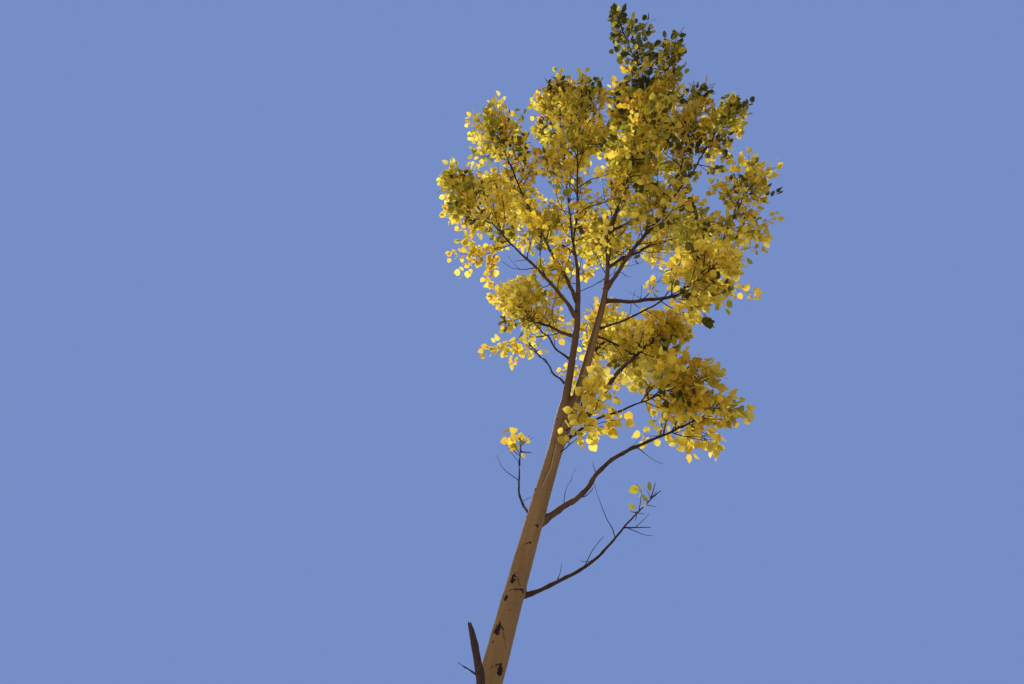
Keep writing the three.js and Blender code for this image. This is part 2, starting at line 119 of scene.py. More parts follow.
# name, what it grows on, height, length, radii, headings, rises, foliage
boughTable = [
    ("broken_stub", "trunk", 1510, 415, (17, 15, 10), (266, 252, 178), (44, 50, 54), None),
    ("lowest_right_bough", "trunk", 2018, 680, (9, 5), (6, 30), (34, 58), (340, 240, 3, 20, 50)),
    ("long_right_bough", "trunk", 2340, 880, (15, 8), (14, 12, -14), (50, 64, 34), (480, 360, 6, -12, 40)),
    ("low_left_bough", "trunk", 2380, 480, (7, 4), (132, 108), (38, 66), (300, 220, 3, 120, 60)),
    ("middle_right_bough", "trunk", 2960, 760, (18, 10), (8, 8), (42, 76, 56), (440, 440, 6, 2, 50)),
    ("leafy_right_bough", "trunk", 2800, 520, (8, 5), (338, 350), (48, 34), (380, 380, 6, 350, 30)),
    ("bare_left_bough", "side_stem", 3230, 420, (6, 4), (145, 135), (45, 54), (280, 220, 3, 130, 55)),
    ("crooked_left_bough", "side_stem", 3440, 520, (7, 4), (158, 146), (46, 56), (360, 280, 4, 150, 50)),
    ("outer_left_bough", "side_stem", 3840, 1150, (13, 7), (190, 178), (50, 38), (600, 520, 8, 184, 46)),
    ("upper_left_bough", "side_stem", 3990, 1500, (13, 7), (176, 208), (58, 62), (680, 500, 7, 204, 64)),
    ("outer_right_bough", "main_stem", 4040, 940, (13, 7), (352, 346, 300), (10, 16, 78),
     (880, 430, 6, 298, 72)),
    ("upper_right_bough", "main_stem", 4160, 1760, (14, 7), (324, 318), (66, 63), (620, 420, 6, 322, 62)),
    ("short_right_bough", "main_stem", 3760, 460, (7, 5), (336, 316), (18, 28), (380, 420, 4, 316, 34)),
    ("thin_right_bough", "main_stem", 3700, 520, (7, 5), (30, 62), (26, 38), (360, 420, 5, 52, 44)),
    ("forked_right_bough", "main_stem", 4850, 1000, (10, 6), (344, 276), (34, 62), (560, 440, 6, 282, 70)),
    ("front_top_bough", "main_stem", 5560, 900, (8, 6), (296, 270), (52, 60), (580, 340, 6, 274, 62)),
    ("low_back_left_bough", "side_stem", 3650, 1000, (11, 6), (132, 118), (46, 52),
     (700, 520, 6, 124, 60)),
    ("low_back_bough", "main_stem", 3560, 1000, (11, 6), (84, 70), (48, 54),
     (700, 520, 6, 66, 62)),
    ("upper_back_right_bough", "main_stem", 4420, 1260, (11, 6), (24, 34), (57, 58),
     (740, 520, 6, 30, 68)),
    ("upper_back_bough", "main_stem", 4620, 1420, (11, 6), (104, 84), (60, 62),
     (780, 520, 6, 90, 70)),
    ("upper_back_left_bough", "side_stem", 4500, 1240, (8, 5), (148, 134), (56, 60),
     (740, 520, 6, 140, 68)),
    ("front_left_bough", "side_stem", 4660, 820, (8, 5), (262, 240), (40, 62), (560, 480, 5, 244, 64)),
    ("front_bough", "main_stem", 4760, 700, (9, 6), (276, 280), (38, 60), (560, 480, 6, 276, 62)),
    ("top_back_bough", "main_stem", 5900, 760, (8, 5), (128, 142), (56, 62), (560, 440, 4, 136, 66)),
]
# These have leaves only beyond their tips. On the others the foliage takes over the last steps.
bareBoughs = {
    "broken_stub", "lowest_right_bough", "long_right_bough", "low_left_bough", "middle_right_bough",
    "leafy_right_bough", "bare_left_bough", "crooked_left_bough", "short_right_bough", "thin_right_bough",
}
boughSteps, leafySteps = 5, 2
topShoots = {
    "count": 6, "low": 5.75, "high": 7.3, "heading": 60, "rise": (52, 70),
    "length": (0.46, 0.3), "reach": (0.44, 0.32), "twigs": 3, "radius": 0.006,
}


# A repeatable number from 0 to 1 for the nth choice of a limb or mass.
def chance(seed, n):
    wave = math.sin(seed * 12.9898 + n * 78.233) * 43758.5453
    return wave - math.floor(wave)


def lerp(a, b, share):
    return a + (b - a) * share


# The value at a share of a list whose values are spread evenly.
def along(values, share):
    return float(np.interp(share * (len(values) - 1), range(len(values)), values))


def smoothStep(value, low, high):
    share = np.clip((value - low) / (high - low), 0, 1)
    return share * share * (3 - 2 * share)


def unit(vector):
    return vector / np.linalg.norm(vector, axis=-1, keepdims=True)


def bearing(heading, rise):
    heading, rise = math.radians(heading), math.radians(rise)
    flat = math.cos(rise)
    return np.array([flat * math.cos(heading), flat * math.sin(heading), math.sin(rise)])


def centreLine(start, length, headings, rises, seed, steps, crook):
    points = [np.array(start, float)]
    for i in range(steps):
        share = (i + 0.5) / steps
        heading = along(headings, share) + crook * (2 * chance(seed, 2 * i) - 1)
        rise = along(rises, share) + crook * (2 * chance(seed, 2 * i + 1) - 1)
        points.append(points[-1] + bearing(heading, rise) * length / steps)
    return np.array(points)


def placeOn(points, share):
    place = share * (len(points) - 1)
    before = min(int(place), len(points) - 2)
    step = points[before + 1] - points[before]
    return points[before] + step * (place - before), unit(step)


def shareAtHeight(points, height):
    above = max(int(np.argmax(points[:, 2] > height)), 1)
    part = (height - points[above - 1][2]) / (points[above][2] - points[above - 1][2])
    return (above - 1 + part) / (len(points) - 1)


def trunkCentre(height):
    share = np.maximum(height, 0) / trunkShape["forkHeight"]  # a spot may lie a hair below the ground
    sway = trunkShape["sway"] * np.sin(2 * math.pi * share)
    return np.stack([trunkShape["lean"] * share ** 2.5, sway, height + 0 * share], axis=-1)


def trunkRadius(height, angle):
    t = trunkShape
    flare = np.exp(-height / t["flareHeight"])
    ridges = 1 + t["ridgeDepth"] * flare * np.cos(t["rootRidges"] * angle + 0.6)
    swelling = smoothStep(height, t["forkHeight"] - t["forkSwelling"], t["forkHeight"])
    widening = 1 + swelling * (t["widening"][0] * np.cos(angle) ** 2 - t["widening"][1])
    return (t["footRadius"] - t["taper"] * height + t["flareRadius"] * flare) * ridges * widening


joinGap = 0.3 * mm
limbs = {}
rings = np.linspace(0, 1, trunkShape["rings"] + 1) ** trunkShape["crowding"]
trunkLine = trunkCentre(trunkShape["forkHeight"] * rings)
limbs["trunk"] = {
    "name": "trunk", "points": trunkLine, "radii": trunkRadius(trunkLine[:, 2], 0), "foliage": None,
}
for i, (name, side, length, radii, headings, rises, foliage) in enumerate(stemTable):
    start = trunkLine[-1] + np.array([side * trunkShape["stemSpacing"], 0, joinGap])
    points = centreLine(start, length * mm, headings, rises, 11 + i, trunkShape["stemSteps"], 2)
    shares = np.linspace(0, 1, len(points))
    limbs[name] = {
        "name": name, "points": points, "foliage": foliage,
        "radii": np.array([along(radii, share) for share in shares]) * mm,
    }
for i, (name, on, height, length, radii, headings, rises, foliage) in enumerate(boughTable):
    parent = limbs[on]
    start, _ = placeOn(parent["points"], shareAtHeight(parent["points"], height * mm))
    whole = centreLine(start, length * mm, headings, rises, 31 + i, boughSteps, 7)
    last = boughSteps if name in bareBoughs else boughSteps - leafySteps
    shares = np.arange(last + 1) / boughSteps
    limbs[name] = {
        "name": name, "points": whole[:last + 1], "beyond": whole[last:], "foliage": foliage,
        "parent": parent,
        "radii": np.array([along(radii, share) for share in shares]) * mm,
    }


# The mass at a limb's end goes on from it, and a top shoot sets off from the main stem.
def tipMass(limb, seed):
    length, reach, twigs, heading, rise = limb["foliage"]
    beyond = limb.get("beyond", limb["points"][-1:])
    _, direction = placeOn(np.vstack([limb["points"], beyond[1:]]), 1)
    tipHeading = math.degrees(math.atan2(direction[1], direction[0]))
    tipRise = math.degrees(math.asin(direction[2]))
    turn = (heading - tipHeading + 180) % 360 - 180
    points = np.vstack([beyond[:-1], centreLine(
        beyond[-1], length * mm, (tipHeading, tipHeading, tipHeading + turn), (tipRise, tipRise, rise),
        seed, 4, 0)])
    _, foot = placeOn(limb["points"], 1)
    points[0] += foot * joinGap
    name = limb["name"].replace("_bough", "").replace("_stem", "") + "_foliage"
    return {"name": name, "points": points, "radius": limb["radii"][-1], "reach": reach * mm,
            "twigs": twigs, "seed": seed, "onStem": False}


def shootMass(i, seed):
    share = i / (topShoots["count"] - 1)
    stem = limbs["main_stem"]["points"]
    start, _ = placeOn(stem, shareAtHeight(stem, lerp(topShoots["low"], topShoots["high"], share)))
    heading = topShoots["heading"] + i * goldenAngle
    points = centreLine(
        start, along(topShoots["length"], share), (heading, heading), topShoots["rise"], seed, 4, 0)
    return {"name": f"top_shoot_{i + 1}_foliage", "points": points, "radius": topShoots["radius"],
            "reach": along(topShoots["reach"], share), "twigs": topShoots["twigs"], "seed": seed,
            "onStem": True}


leafyLimbs = [limb for limb in limbs.values() if limb["foliage"]]
masses = [tipMass(limb, 71 + i) for i, limb in enumerate(leafyLimbs)]
masses += [shootMass(i, 111 + i) for i in range(topShoots["count"])]
slotOf = {row["node"]: row["material_slot"] for row in frame["record"]["subparts"]}
missing = {mass["name"] for mass in masses} ^ {n for n in frame["nodes"] if n.endswith("_foliage")}
assert not missing, missing
print("poplar: limbs and", len(masses), "masses laid out")

# Every centre line in one row of steps, so that many spots are tried against all of them at once.
lines = [mass["points"] for mass in masses] + [limb["points"] for limb in limbs.values()]
stepFrom = np.concatenate([line[:-1] for line in lines])
stepBy = np.concatenate([np.diff(line, axis=0) for line in lines])
firstStep = np.cumsum([0] + [len(line) - 1 for line in lines[:-1]])
massSteps = firstStep[len(masses)]
reaches = np.array([mass["reach"] for mass in masses])
limbRadii = [limb["radii"] for limb in limbs.values()]
radiusFrom = np.concatenate([radii[:-1] for radii in limbRadii])
radiusBy = np.concatenate([np.diff(radii) for radii in limbRadii])


# How far each spot is from each of some straight steps, and how far along the step its nearest place is.
def awayFrom(spots, start, step):
    offset = spots[:, None] - start
    part = np.clip((offset * step).sum(2) / (step * step).sum(1), 0, 1)
    return np.linalg.norm(offset - part[..., None] * step, axis=2), part


# A spot is free for a mass within its reach, which narrows towards the tip, nearer to its stem than to any
# other, and off every limb.
tipTaper = 0.4


def isFree(spots, index, spaceGap=0.05, clearance=8 * mm, reach=1.0, taper=tipTaper):
    away, part = awayFrom(spots, stepFrom, stepBy)
    shares = np.minimum.reduceat(away[:, :massSteps], firstStep[:len(masses)], axis=1) / reaches
    own = shares[:, index].copy()
    shares[:, index] = np.inf
    steps = np.arange(firstStep[index], firstStep[index + 1])
    nearest = away[:, steps].argmin(1)
    place = (nearest + part[np.arange(len(spots)), steps[nearest]]) / len(steps)
    offLimbs = away[:, massSteps:] - radiusFrom - radiusBy * part[:, massSteps:] > clearance
    inReach = own <= reach * (1 - taper * place)
    return inReach & (shares.min(1) >= own + spaceGap) & offLimbs.all(1)


# Catmull-Rom points and radii at an even spacing along a coarse centre line.
def smoothLine(points, radii, spacing):
    ends = np.vstack([2 * points[0] - points[1], points, 2 * points[-1] - points[-2]])
    finePoints, fineRadii = [], []
    for i in range(len(points) - 1):
        a, b, c, d = ends[i:i + 4]
        count = max(int(round(np.linalg.norm(c - b) / spacing)), 1)
        for t in np.arange(count) / count:
            finePoints.append(0.5 * (2 * b + (c - a) * t + (2 * a - 5 * b + 4 * c - d) * t * t
                                     + (3 * b - a - 3 * c + d) * t ** 3))
            fineRadii.append(lerp(radii[i], radii[i + 1], t))
    finePoints.append(points[-1])
    fineRadii.append(radii[-1])
    return np.array(finePoints), np.array(fineRadii)


# The mesh that a curve or a voxel remesh gives.
def finishedMesh(name, data, voxel=None):
    holder = newObject(name, data)
    if voxel:
        remesh = holder.modifiers.new("grownTogether", "REMESH")
        remesh.mode = "VOXEL"
        remesh.voxel_size = voxel
    mesh = bpy.data.meshes.new_from_object(holder.evaluated_get(bpy.context.evaluated_depsgraph_get()))
    bpy.data.objects.remove(holder)
    return mesh


# Round tubes as one mesh: a curve with a spline for each line, whose bevel follows the radii.
def tubesMesh(name, tubes, bevelSteps):
    curve = bpy.data.curves.new(name, "CURVE")
    curve.dimensions = "3D"
    curve.bevel_depth = 1
    curve.bevel_resolution = bevelSteps
    curve.use_fill_caps = True
    for points, radii in tubes:
        spline = curve.splines.new("POLY")
        spline.points.add(len(points) - 1)
        spline.points.foreach_set("co", np.c_[points, np.ones(len(points))].ravel())
        spline.points.foreach_set("radius", radii)
    mesh = finishedMesh(name, curve)
    bpy.data.curves.remove(curve)
    weld = bmesh.new()
    weld.from_mesh(mesh)
    bmesh.ops.remove_doubles(weld, verts=weld.verts, dist=1e-6)
    weld.to_mesh(mesh)
    weld.free()
    return mesh


# Where a mesh's vertices are, and which way they face.
def spotsOf(mesh):
    spots, normals = np.empty((2, len(mesh.vertices) * 3))
    mesh.vertices.foreach_get("co", spots)
    mesh.vertex_normals.foreach_get("vector", normals)
    return spots.reshape(-1, 3), normals.reshape(-1, 3)


# The length along a line as far as each of its points.
def runAlong(points):
    return np.concatenate([[0], np.cumsum(np.linalg.norm(np.diff(points, axis=0), axis=1))])


def bell(value, middle, width):
    return np.exp(-((value - middle) / width) ** 2)


# Pushes a mesh's vertices out along their normals.
def pushOut(mesh, spots, normals, lift):
    spots += normals * lift[:, None]
    mesh.vertices.foreach_set("co", spots.ravel())


def noiseAt(spots, scale, shift=0.0):
    scaled = spots * np.array(scale) + shift
    return np.array([noise.noise(spot) for spot in scaled.tolist()])


def setValues(mesh, **lists):
    for name, values in lists.items():
        layer = mesh.attributes.new(name, "FLOAT", "POINT")
        layer.data.foreach_set("value", values.astype(np.float32))


def showPiece(name, mesh, material, slot, *nodes):
    mesh.name = name
    mesh.materials.clear()
    mesh.materials.append(material)
    mesh.polygons.foreach_set("use_smooth", np.ones(len(mesh.polygons), bool))
    piece = newObject(name, mesh)
    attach(piece, "root")
    if nodes:
        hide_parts(*nodes)
    mesh.calc_loop_triangles()
    print("poplar:", name, len(mesh.loop_triangles), "triangles")
    return piece


# Shader helpers: a node with its settings, whose inputs are values or the sockets that feed them.
def addNode(tree, kind, inputs, **settings):
    node = tree.nodes.new(kind)
    for key, value in settings.items():
        setattr(node, key, value)
    for socket, value in inputs.items():
        if isinstance(value, bpy.types.NodeSocket):
            tree.links.new(value, node.inputs[socket])
        else:
            node.inputs[socket].default_value = value
    return node


def newMaterial(name):
    material = bpy.data.materials.new(name)
    material.use_nodes = True
    material.node_tree.nodes.clear()
    return material, material.node_tree


def mixColours(tree, share, *pair):
    tones = [tone if isinstance(tone, bpy.types.NodeSocket) else (*tone, 1) for tone in pair]
    mix = addNode(tree, "ShaderNodeMix", {0: share, 6: tones[0], 7: tones[1]}, data_type="RGBA")
    return mix.outputs[2]


def ramp(tree, share, low, high, least=0.0, most=1.0):
    mapped = addNode(tree, "ShaderNodeMapRange", {0: share, 1: low, 2: high, 3: least, 4: most})
    return mapped.outputs[0]


def calculate(tree, operation, *values):
    return addNode(tree, "ShaderNodeMath", dict(enumerate(values)), operation=operation).outputs[0]


def noiseOn(tree, vector, scale, detail=2.0, roughness=0.5):
    sized = addNode(tree, "ShaderNodeMapping", {0: vector, 3: scale})
    grain = addNode(tree, "ShaderNodeTexNoise", {"Vector": sized.outputs[0], "Scale": 1.0,
                                                 "Detail": detail, "Roughness": roughness})
    return grain.outputs[0]


def attribute(tree, name):
    return addNode(tree, "ShaderNodeAttribute", {}, attribute_name=name).outputs["Fac"]


# A dull surface whose bump follows a height.
def dullSkin(tree, tone, roughness, specular, height, strength, distance):
    bump = addNode(tree, "ShaderNodeBump", {"Height": height, "Strength": strength, "Distance": distance})
    skin = addNode(tree, "ShaderNodeBsdfPrincipled", {
        "Base Color": tone, "Roughness": roughness, "Normal": bump.outputs[0],
        "Specular IOR Level": specular})
    return skin.outputs[0]


def useShader(tree, shader):
    addNode(tree, "ShaderNodeOutputMaterial", {0: shader})


# Bark of the trunk and the two stems: one skin, remeshed so that the fork grows together.
bark = {
    "sides": 48, "ringStep": 0.03, "stemStep": 0.03, "stemBevel": 5, "sunkIn": 0.14,
    "voxel": 0.0051, "smoothings": 3, "fineCuts": 1, "fineReach": 0.045,
    "undulation": 1.6 * mm, "fissures": 4 * mm, "fissuredTo": 0.3, "wrinkles": 0.5 * mm,
    "collarSize": 1.25, "collarSwelling": 0.45,
    # from and to which height the bark darkens: the side stem as brown bark and painted shade, the main stem
    # as brown bark, and the main stem's left side as painted shade
    "brownAndShadeSide": (2.85, 3.3), "mainStemDarkening": (3.6, 4.4), "shadeLeft": (2.8, 3.2),
}
# Scars of dropped limbs, the first few where the photograph shows them: height, heading, half width,
# half height, depth of colour, then how far the brow line runs left and right, and its drop.
scars = [
    (2.080, 242, 0.010, 0.018, 1.0, 0.016, 0.055, 0.065),
    (2.000, 233, 0.008, 0.009, 0.8, 0.02, 0.012, 0.01),
    (1.960, 272, 0.013, 0.005, 0.35, 0.0, 0.0, 0.0),
    (1.880, 236, 0.014, 0.024, 1.0, 0.02, 0.06, 0.09),
    (1.835, 232, 0.004, 0.005, 0.7, 0.0, 0.0, 0.0),
    (1.750, 302, 0.014, 0.020, 1.0, 0.05, 0.012, 0.035),
    (2.046, 322, 0.006, 0.006, 1.0, 0.085, 0.0, 0.03),
    (2.335, 300, 0.005, 0.006, 0.8, 0.03, 0.01, 0.02),
    (2.250, 286, 0.004, 0.004, 1.0, 0.065, 0.0, 0.08),
    (2.900, 285, 0.006, 0.006, 0.7, 0.03, 0.03, 0.02),
]
ruleScars = {"count": 34, "low": 0.35, "high": 3.0, "size": (0.005, 0.014), "clear": 0.12, "seed": 5}
scarLook = {"ragged": 0.8, "bend": 4 * mm, "rim": 1.8 * mm, "pit": 2.2 * mm,
            "browWidth": 4.4 * mm, "browPit": 0.8 * mm}
# A long seam below the fork, where the bark split and healed: heights, headings, half width.
seam = {"heights": (2.46, 2.56, 2.64, 3.04), "headings": (232, 262, 274, 260), "half": 0.0045,
        "waver": 0.002, "ridge": 1.2 * mm, "groove": 1.6 * mm}


def allScars():
    found = list(scars)
    rule = ruleScars
    for i in range(rule["count"]):
        pick = [chance(rule["seed"] + i, n) for n in range(5)]
        height = lerp(rule["low"], rule["high"], pick[0])
        heading = (i * goldenAngle + 40 * pick[1]) % 360
        facing = 200 < heading < 340 and 1.6 < height < 2.2  # the front has its own scars there
        if facing or any(abs(height - s[0]) < rule["clear"] and abs(heading - s[1]) < 60 for s in found):
            continue
        wide = lerp(*rule["size"], pick[2])
        brow = wide * lerp(2, 5, pick[3])
        found.append((height, heading, wide, wide * lerp(0.8, 1.7, pick[4]), lerp(0.6, 1, pick[2]),
                      brow, brow * lerp(0.5, 1.2, pick[4]), brow * lerp(0.5, 1, pick[1])))
    return found


def trunkShell(shell):
    fork = trunkShape["forkHeight"]
    count = round(fork / bark["ringStep"])
    angles = np.arange(bark["sides"]) * 2 * math.pi / bark["sides"]
    ring = bmesh.ops.create_circle(shell, cap_ends=True, radius=0.1, segments=bark["sides"])["verts"]
    order = np.argsort([math.atan2(v.co.y, v.co.x) % (2 * math.pi) for v in ring])
    loop = [ring[i] for i in order]
    edges = [shell.edges.get((loop[i - 1], loop[i])) for i in range(len(loop))]
    for i in range(count + 1):
        height = fork * i / count
        if i:
            grown = bmesh.ops.extrude_edge_only(shell, edges=edges)["geom"]
            newEdges = [g for g in grown if isinstance(g, bmesh.types.BMEdge)]
            linked = {}
            for vert in (g for g in grown if isinstance(g, bmesh.types.BMVert)):
                below = next(e.other_vert(vert) for e in vert.link_edges if e.other_vert(vert) in loop)
                linked[below] = vert
            loop = [linked[vert] for vert in loop]
            edges = newEdges
        crease = smoothStep(height, fork - trunkShape["creaseLength"], fork) * trunkShape["creaseDepth"]
        around = trunkRadius(height, angles) * (1 - crease * np.abs(np.sin(angles)) ** 6)
        centre = trunkCentre(height)
        for vert, angle, radius in zip(loop, angles, around):
            vert.co = centre + radius * np.array([math.cos(angle), math.sin(angle), 0])
    bmesh.ops.contextual_create(shell, geom=edges)


def stemTube(name, side):
    limb = limbs[name]
    points, radii = smoothLine(limb["points"], limb["radii"], bark["stemStep"])
    foot = trunkCentre(trunkShape["forkHeight"] - bark["sunkIn"] * np.array([1, 0.5]))
    foot[:, 0] += side * trunkShape["stemSpacing"] * np.array([0.7, 0.9])
    return np.vstack([foot, points]), np.concatenate([radii[0] * np.array([0.75, 0.95]), radii])


# Distance from the nearest of some limbs' centre lines, and that limb's radius there.
def nearestLimb(spots, names):
    best = np.full(len(spots), np.inf)
    thick = np.zeros(len(spots))
    for name in names:
        points, radii = limbs[name]["points"], limbs[name]["radii"]
        away, part = awayFrom(spots, points[:-1], np.diff(points, axis=0))
        nearest = away.argmin(1)
        rows = np.arange(len(spots))
        distance = away[rows, nearest]
        radius = lerp(radii[nearest], radii[nearest + 1], part[rows, nearest])
        closer = distance < best
        best[closer] = distance[closer]
        thick[closer] = radius[closer]
    return best, thick


# Where a bough's centre line comes out of what it grows on.
def exitOf(bough):
    points, _ = smoothLine(bough["points"], bough["radii"], 0.004)
    distance, thick = nearestLimb(points, [bough["parent"]["name"]])
    return points[int(np.argmax(distance > thick))]


# The heading of a spot from the trunk's middle, in radians, and how far out it is.
def aroundTrunk(spots):
    aside = spots[:, :2] - trunkCentre(spots[:, 2])[:, :2]
    return np.arctan2(aside[:, 1], aside[:, 0]), np.hypot(aside[:, 1], aside[:, 0])


def turnFrom(angle, heading):
    return (angle - np.radians(heading) + math.pi) % (2 * math.pi) - math.pi


# Scars darken and dent the skin, and most carry a brow line that sweeps down on both sides.
def scarRelief(spots):
    look = scarLook
    dark, lift = np.zeros((2, len(spots)))
    onTrunk = spots[:, 2] < trunkShape["forkHeight"] - 0.05
    angle, around = aroundTrunk(spots)
    ragged = noiseAt(spots, 110, 7.0)
    bend = look["bend"] * noiseAt(spots, 45, 2.0)
    for height, heading, wide, tall, depth, left, right, drop in allScars():
        across, rise = turnFrom(angle, heading) * around + bend, spots[:, 2] - height + bend
        near = onTrunk & (np.abs(rise) < tall * 3 + drop) & (np.abs(across) < wide * 3 + left + right)
        if not near.any():
            continue
        across, rise = across[near], rise[near]
        spread = (np.abs(across) / wide) ** 1.5 + (np.abs(rise) / tall) ** 1.5
        core = np.clip((1.25 - spread * (1 + look["ragged"] * ragged[near])) * 2.2, 0, 1)
        dark[near] = np.maximum(dark[near], core * depth)
        lift[near] += bell(np.sqrt(spread), 1.45, 0.35) * look["rim"] * depth - core * look["pit"] * depth
        if left + right > 0:
            share = np.abs(across) / np.where(across < 0, max(left, 1e-4), max(right, 1e-4))
            brow = tall * 1.1 - drop * share ** 1.3
            thin = look["browWidth"] * np.clip(1.25 - share, 0.25, 1)
            line = bell(rise, brow, thin) * np.clip((1.15 - share) * 4, 0, 1)
            dark[near] = np.maximum(dark[near], line * depth * np.clip(0.8 + ragged[near], 0.3, 1))
            lift[near] -= line * look["browPit"]
    return dark, lift


# How far a spot is to the side of the seam, in its half widths, and how strong the seam is there.
def seamAt(spots):
    low, high = seam["heights"][0], seam["heights"][-1]
    share = (spots[:, 2] - low) / (high - low)
    heading = np.interp(spots[:, 2], seam["heights"], seam["headings"])
    angle, around = aroundTrunk(spots)
    waver = seam["waver"] * np.sin(spots[:, 2] * 23) + 0.5 * seam["waver"] * np.sin(spots[:, 2] * 61)
    across = turnFrom(angle, heading) * around + waver
    strength = np.clip(np.minimum(share, 1 - share) * 6, 0, 1)
    return across / seam["half"], strength


# A bough's collar: the skin swells round its root, with dark wrinkles above it.
def collarRelief(spots):
    dark, lift = np.zeros((2, len(spots)))
    for limb in limbs.values():
        if "parent" not in limb:
            continue
        size = limb["radii"][0] * bark["collarSize"]
        offset = spots - exitOf(limb)
        away = np.linalg.norm(offset, axis=1)
        near = away < size * 7
        above = np.clip(offset[:, 2] / np.maximum(away, 1e-6) + 0.35, 0, 1)
        lift += near * bell(away, 0, 1.5 * size) * bark["collarSwelling"] * size
        ring = bell(away, 1.25 * size, 0.4 * size)
        brow = bell(away, 2.3 * size, 0.22 * size) * 0.6 * above
        dark = np.maximum(dark, near * np.maximum(ring * (0.35 + 0.6 * above), brow))
    return dark, lift


# The skin is cut finer where the photograph shows scars and the seam, so that their thin lines hold.
def refineScars(skin):
    spots = np.array([vert.co for vert in skin.verts])
    angle, around = aroundTrunk(spots)
    fine = np.zeros(len(spots), bool)
    for height, heading, _, _, _, left, right, drop in scars:
        across = turnFrom(angle, heading) * around
        rise = spots[:, 2] - height
        fine |= ((across > -max(left, bark["fineReach"] / 2)) & (across < max(right, bark["fineReach"] / 2))
                 & (rise < bark["fineReach"]) & (rise > -bark["fineReach"] - drop))
    side, strength = seamAt(spots)
    fine |= (np.abs(side) < 2.5) & (strength > 0)
    fine &= spots[:, 2] < trunkShape["forkHeight"]
    edges = [edge for edge in skin.edges if fine[edge.verts[0].index] and fine[edge.verts[1].index]]
    bmesh.ops.subdivide_edges(skin, edges=edges, cuts=bark["fineCuts"], use_grid_fill=True)


def grownSkin():
    shell = bmesh.new()
    trunkShell(shell)
    bmesh.ops.recalc_face_normals(shell, faces=shell.faces)
    stems = [stemTube("main_stem", 0.5), stemTube("side_stem", -0.5)]
    shell.from_mesh(tubesMesh("stemTubes", stems, bark["stemBevel"]))
    rough = bpy.data.meshes.new("roughSkin")
    shell.to_mesh(rough)
    shell.free()
    mesh = finishedMesh("roughSkin", rough, bark["voxel"])
    skin = bmesh.new()
    skin.from_mesh(mesh)
    for _ in range(bark["smoothings"]):
        bmesh.ops.smooth_vert(skin, verts=skin.verts, factor=0.5, use_axis_x=True, use_axis_y=True,
                              use_axis_z=True)
    refineScars(skin)
    skin.to_mesh(mesh)
    skin.free()
    return mesh


def makeBark():
    mesh = grownSkin()
    spots, normals = spotsOf(mesh)
    _, thick = nearestLimb(spots, ["trunk", "main_stem", "side_stem"])
    dark, lift = scarRelief(spots)
    collarDark, collarLift = collarRelief(spots)
    bulk = np.clip(thick / 0.045, 0.15, 1)  # a thin stem has a shallower relief
    foot = np.exp(-spots[:, 2] / bark["fissuredTo"])
    lift += collarLift
    lift += bark["undulation"] * bulk * noiseAt(spots, (9, 9, 7))
    lift += bark["wrinkles"] * bulk * noiseAt(spots, (14, 14, 75), 3.0)
    fissure = 1 - 2 * np.abs(noiseAt(spots, (34, 34, 6), 11.0))
    lift -= bark["fissures"] * foot * np.clip(fissure - 0.3, 0, 1)
    side, strength = seamAt(spots)
    groove = bell(side, -1.3, 0.4) * strength
    ridge = bell(side, 0, 0.8) * strength
    lift += ridge * seam["ridge"] - groove * seam["groove"]
    dark = np.maximum(np.maximum(dark, groove * 0.85), collarDark)
    ground = smoothStep(spots[:, 2], 0.0, 0.02)  # the cut at the ground stays flat
    spots += normals * (lift * ground)[:, None]
    spots[:, 2] = np.maximum(spots[:, 2], 0)
    mesh.vertices.foreach_set("co", spots.ravel())
    toMain, toSide = (nearestLimb(spots, [name])[0] for name in ("main_stem", "side_stem"))
    height = spots[:, 2]
    # the main stem's left side, facing -X, is darkened as painted shade; the side stem darkens from the fork
    # up as brown bark and painted shade
    shadedLeftSide = smoothStep(-normals[:, 0], -0.2, 0.5) * smoothStep(height, *bark["shadeLeft"])
    mainStemDarkening = np.maximum(smoothStep(height, *bark["mainStemDarkening"]), shadedLeftSide)
    brownAndShade = np.where(toSide < toMain, smoothStep(height, *bark["brownAndShadeSide"]), mainStemDarkening)
    setValues(mesh, scar=np.clip(dark, 0, 1), upper=brownAndShade, foot=foot, healed=ridge)
    return mesh


barkTones = {
    "tan": (0.285, 0.172, 0.06), "deepTan": (0.20, 0.12, 0.04), "tinged": (0.19, 0.14, 0.052),
    "rosy": (0.32, 0.20, 0.10), "healed": (0.42, 0.31, 0.17), "speckled": (0.14, 0.09, 0.045),
    "brownAndShade": (0.085, 0.05, 0.022), "foot": (0.16, 0.13, 0.10), "dashed": (0.10, 0.07, 0.05),
    "scarred": (0.022, 0.014, 0.011),
}


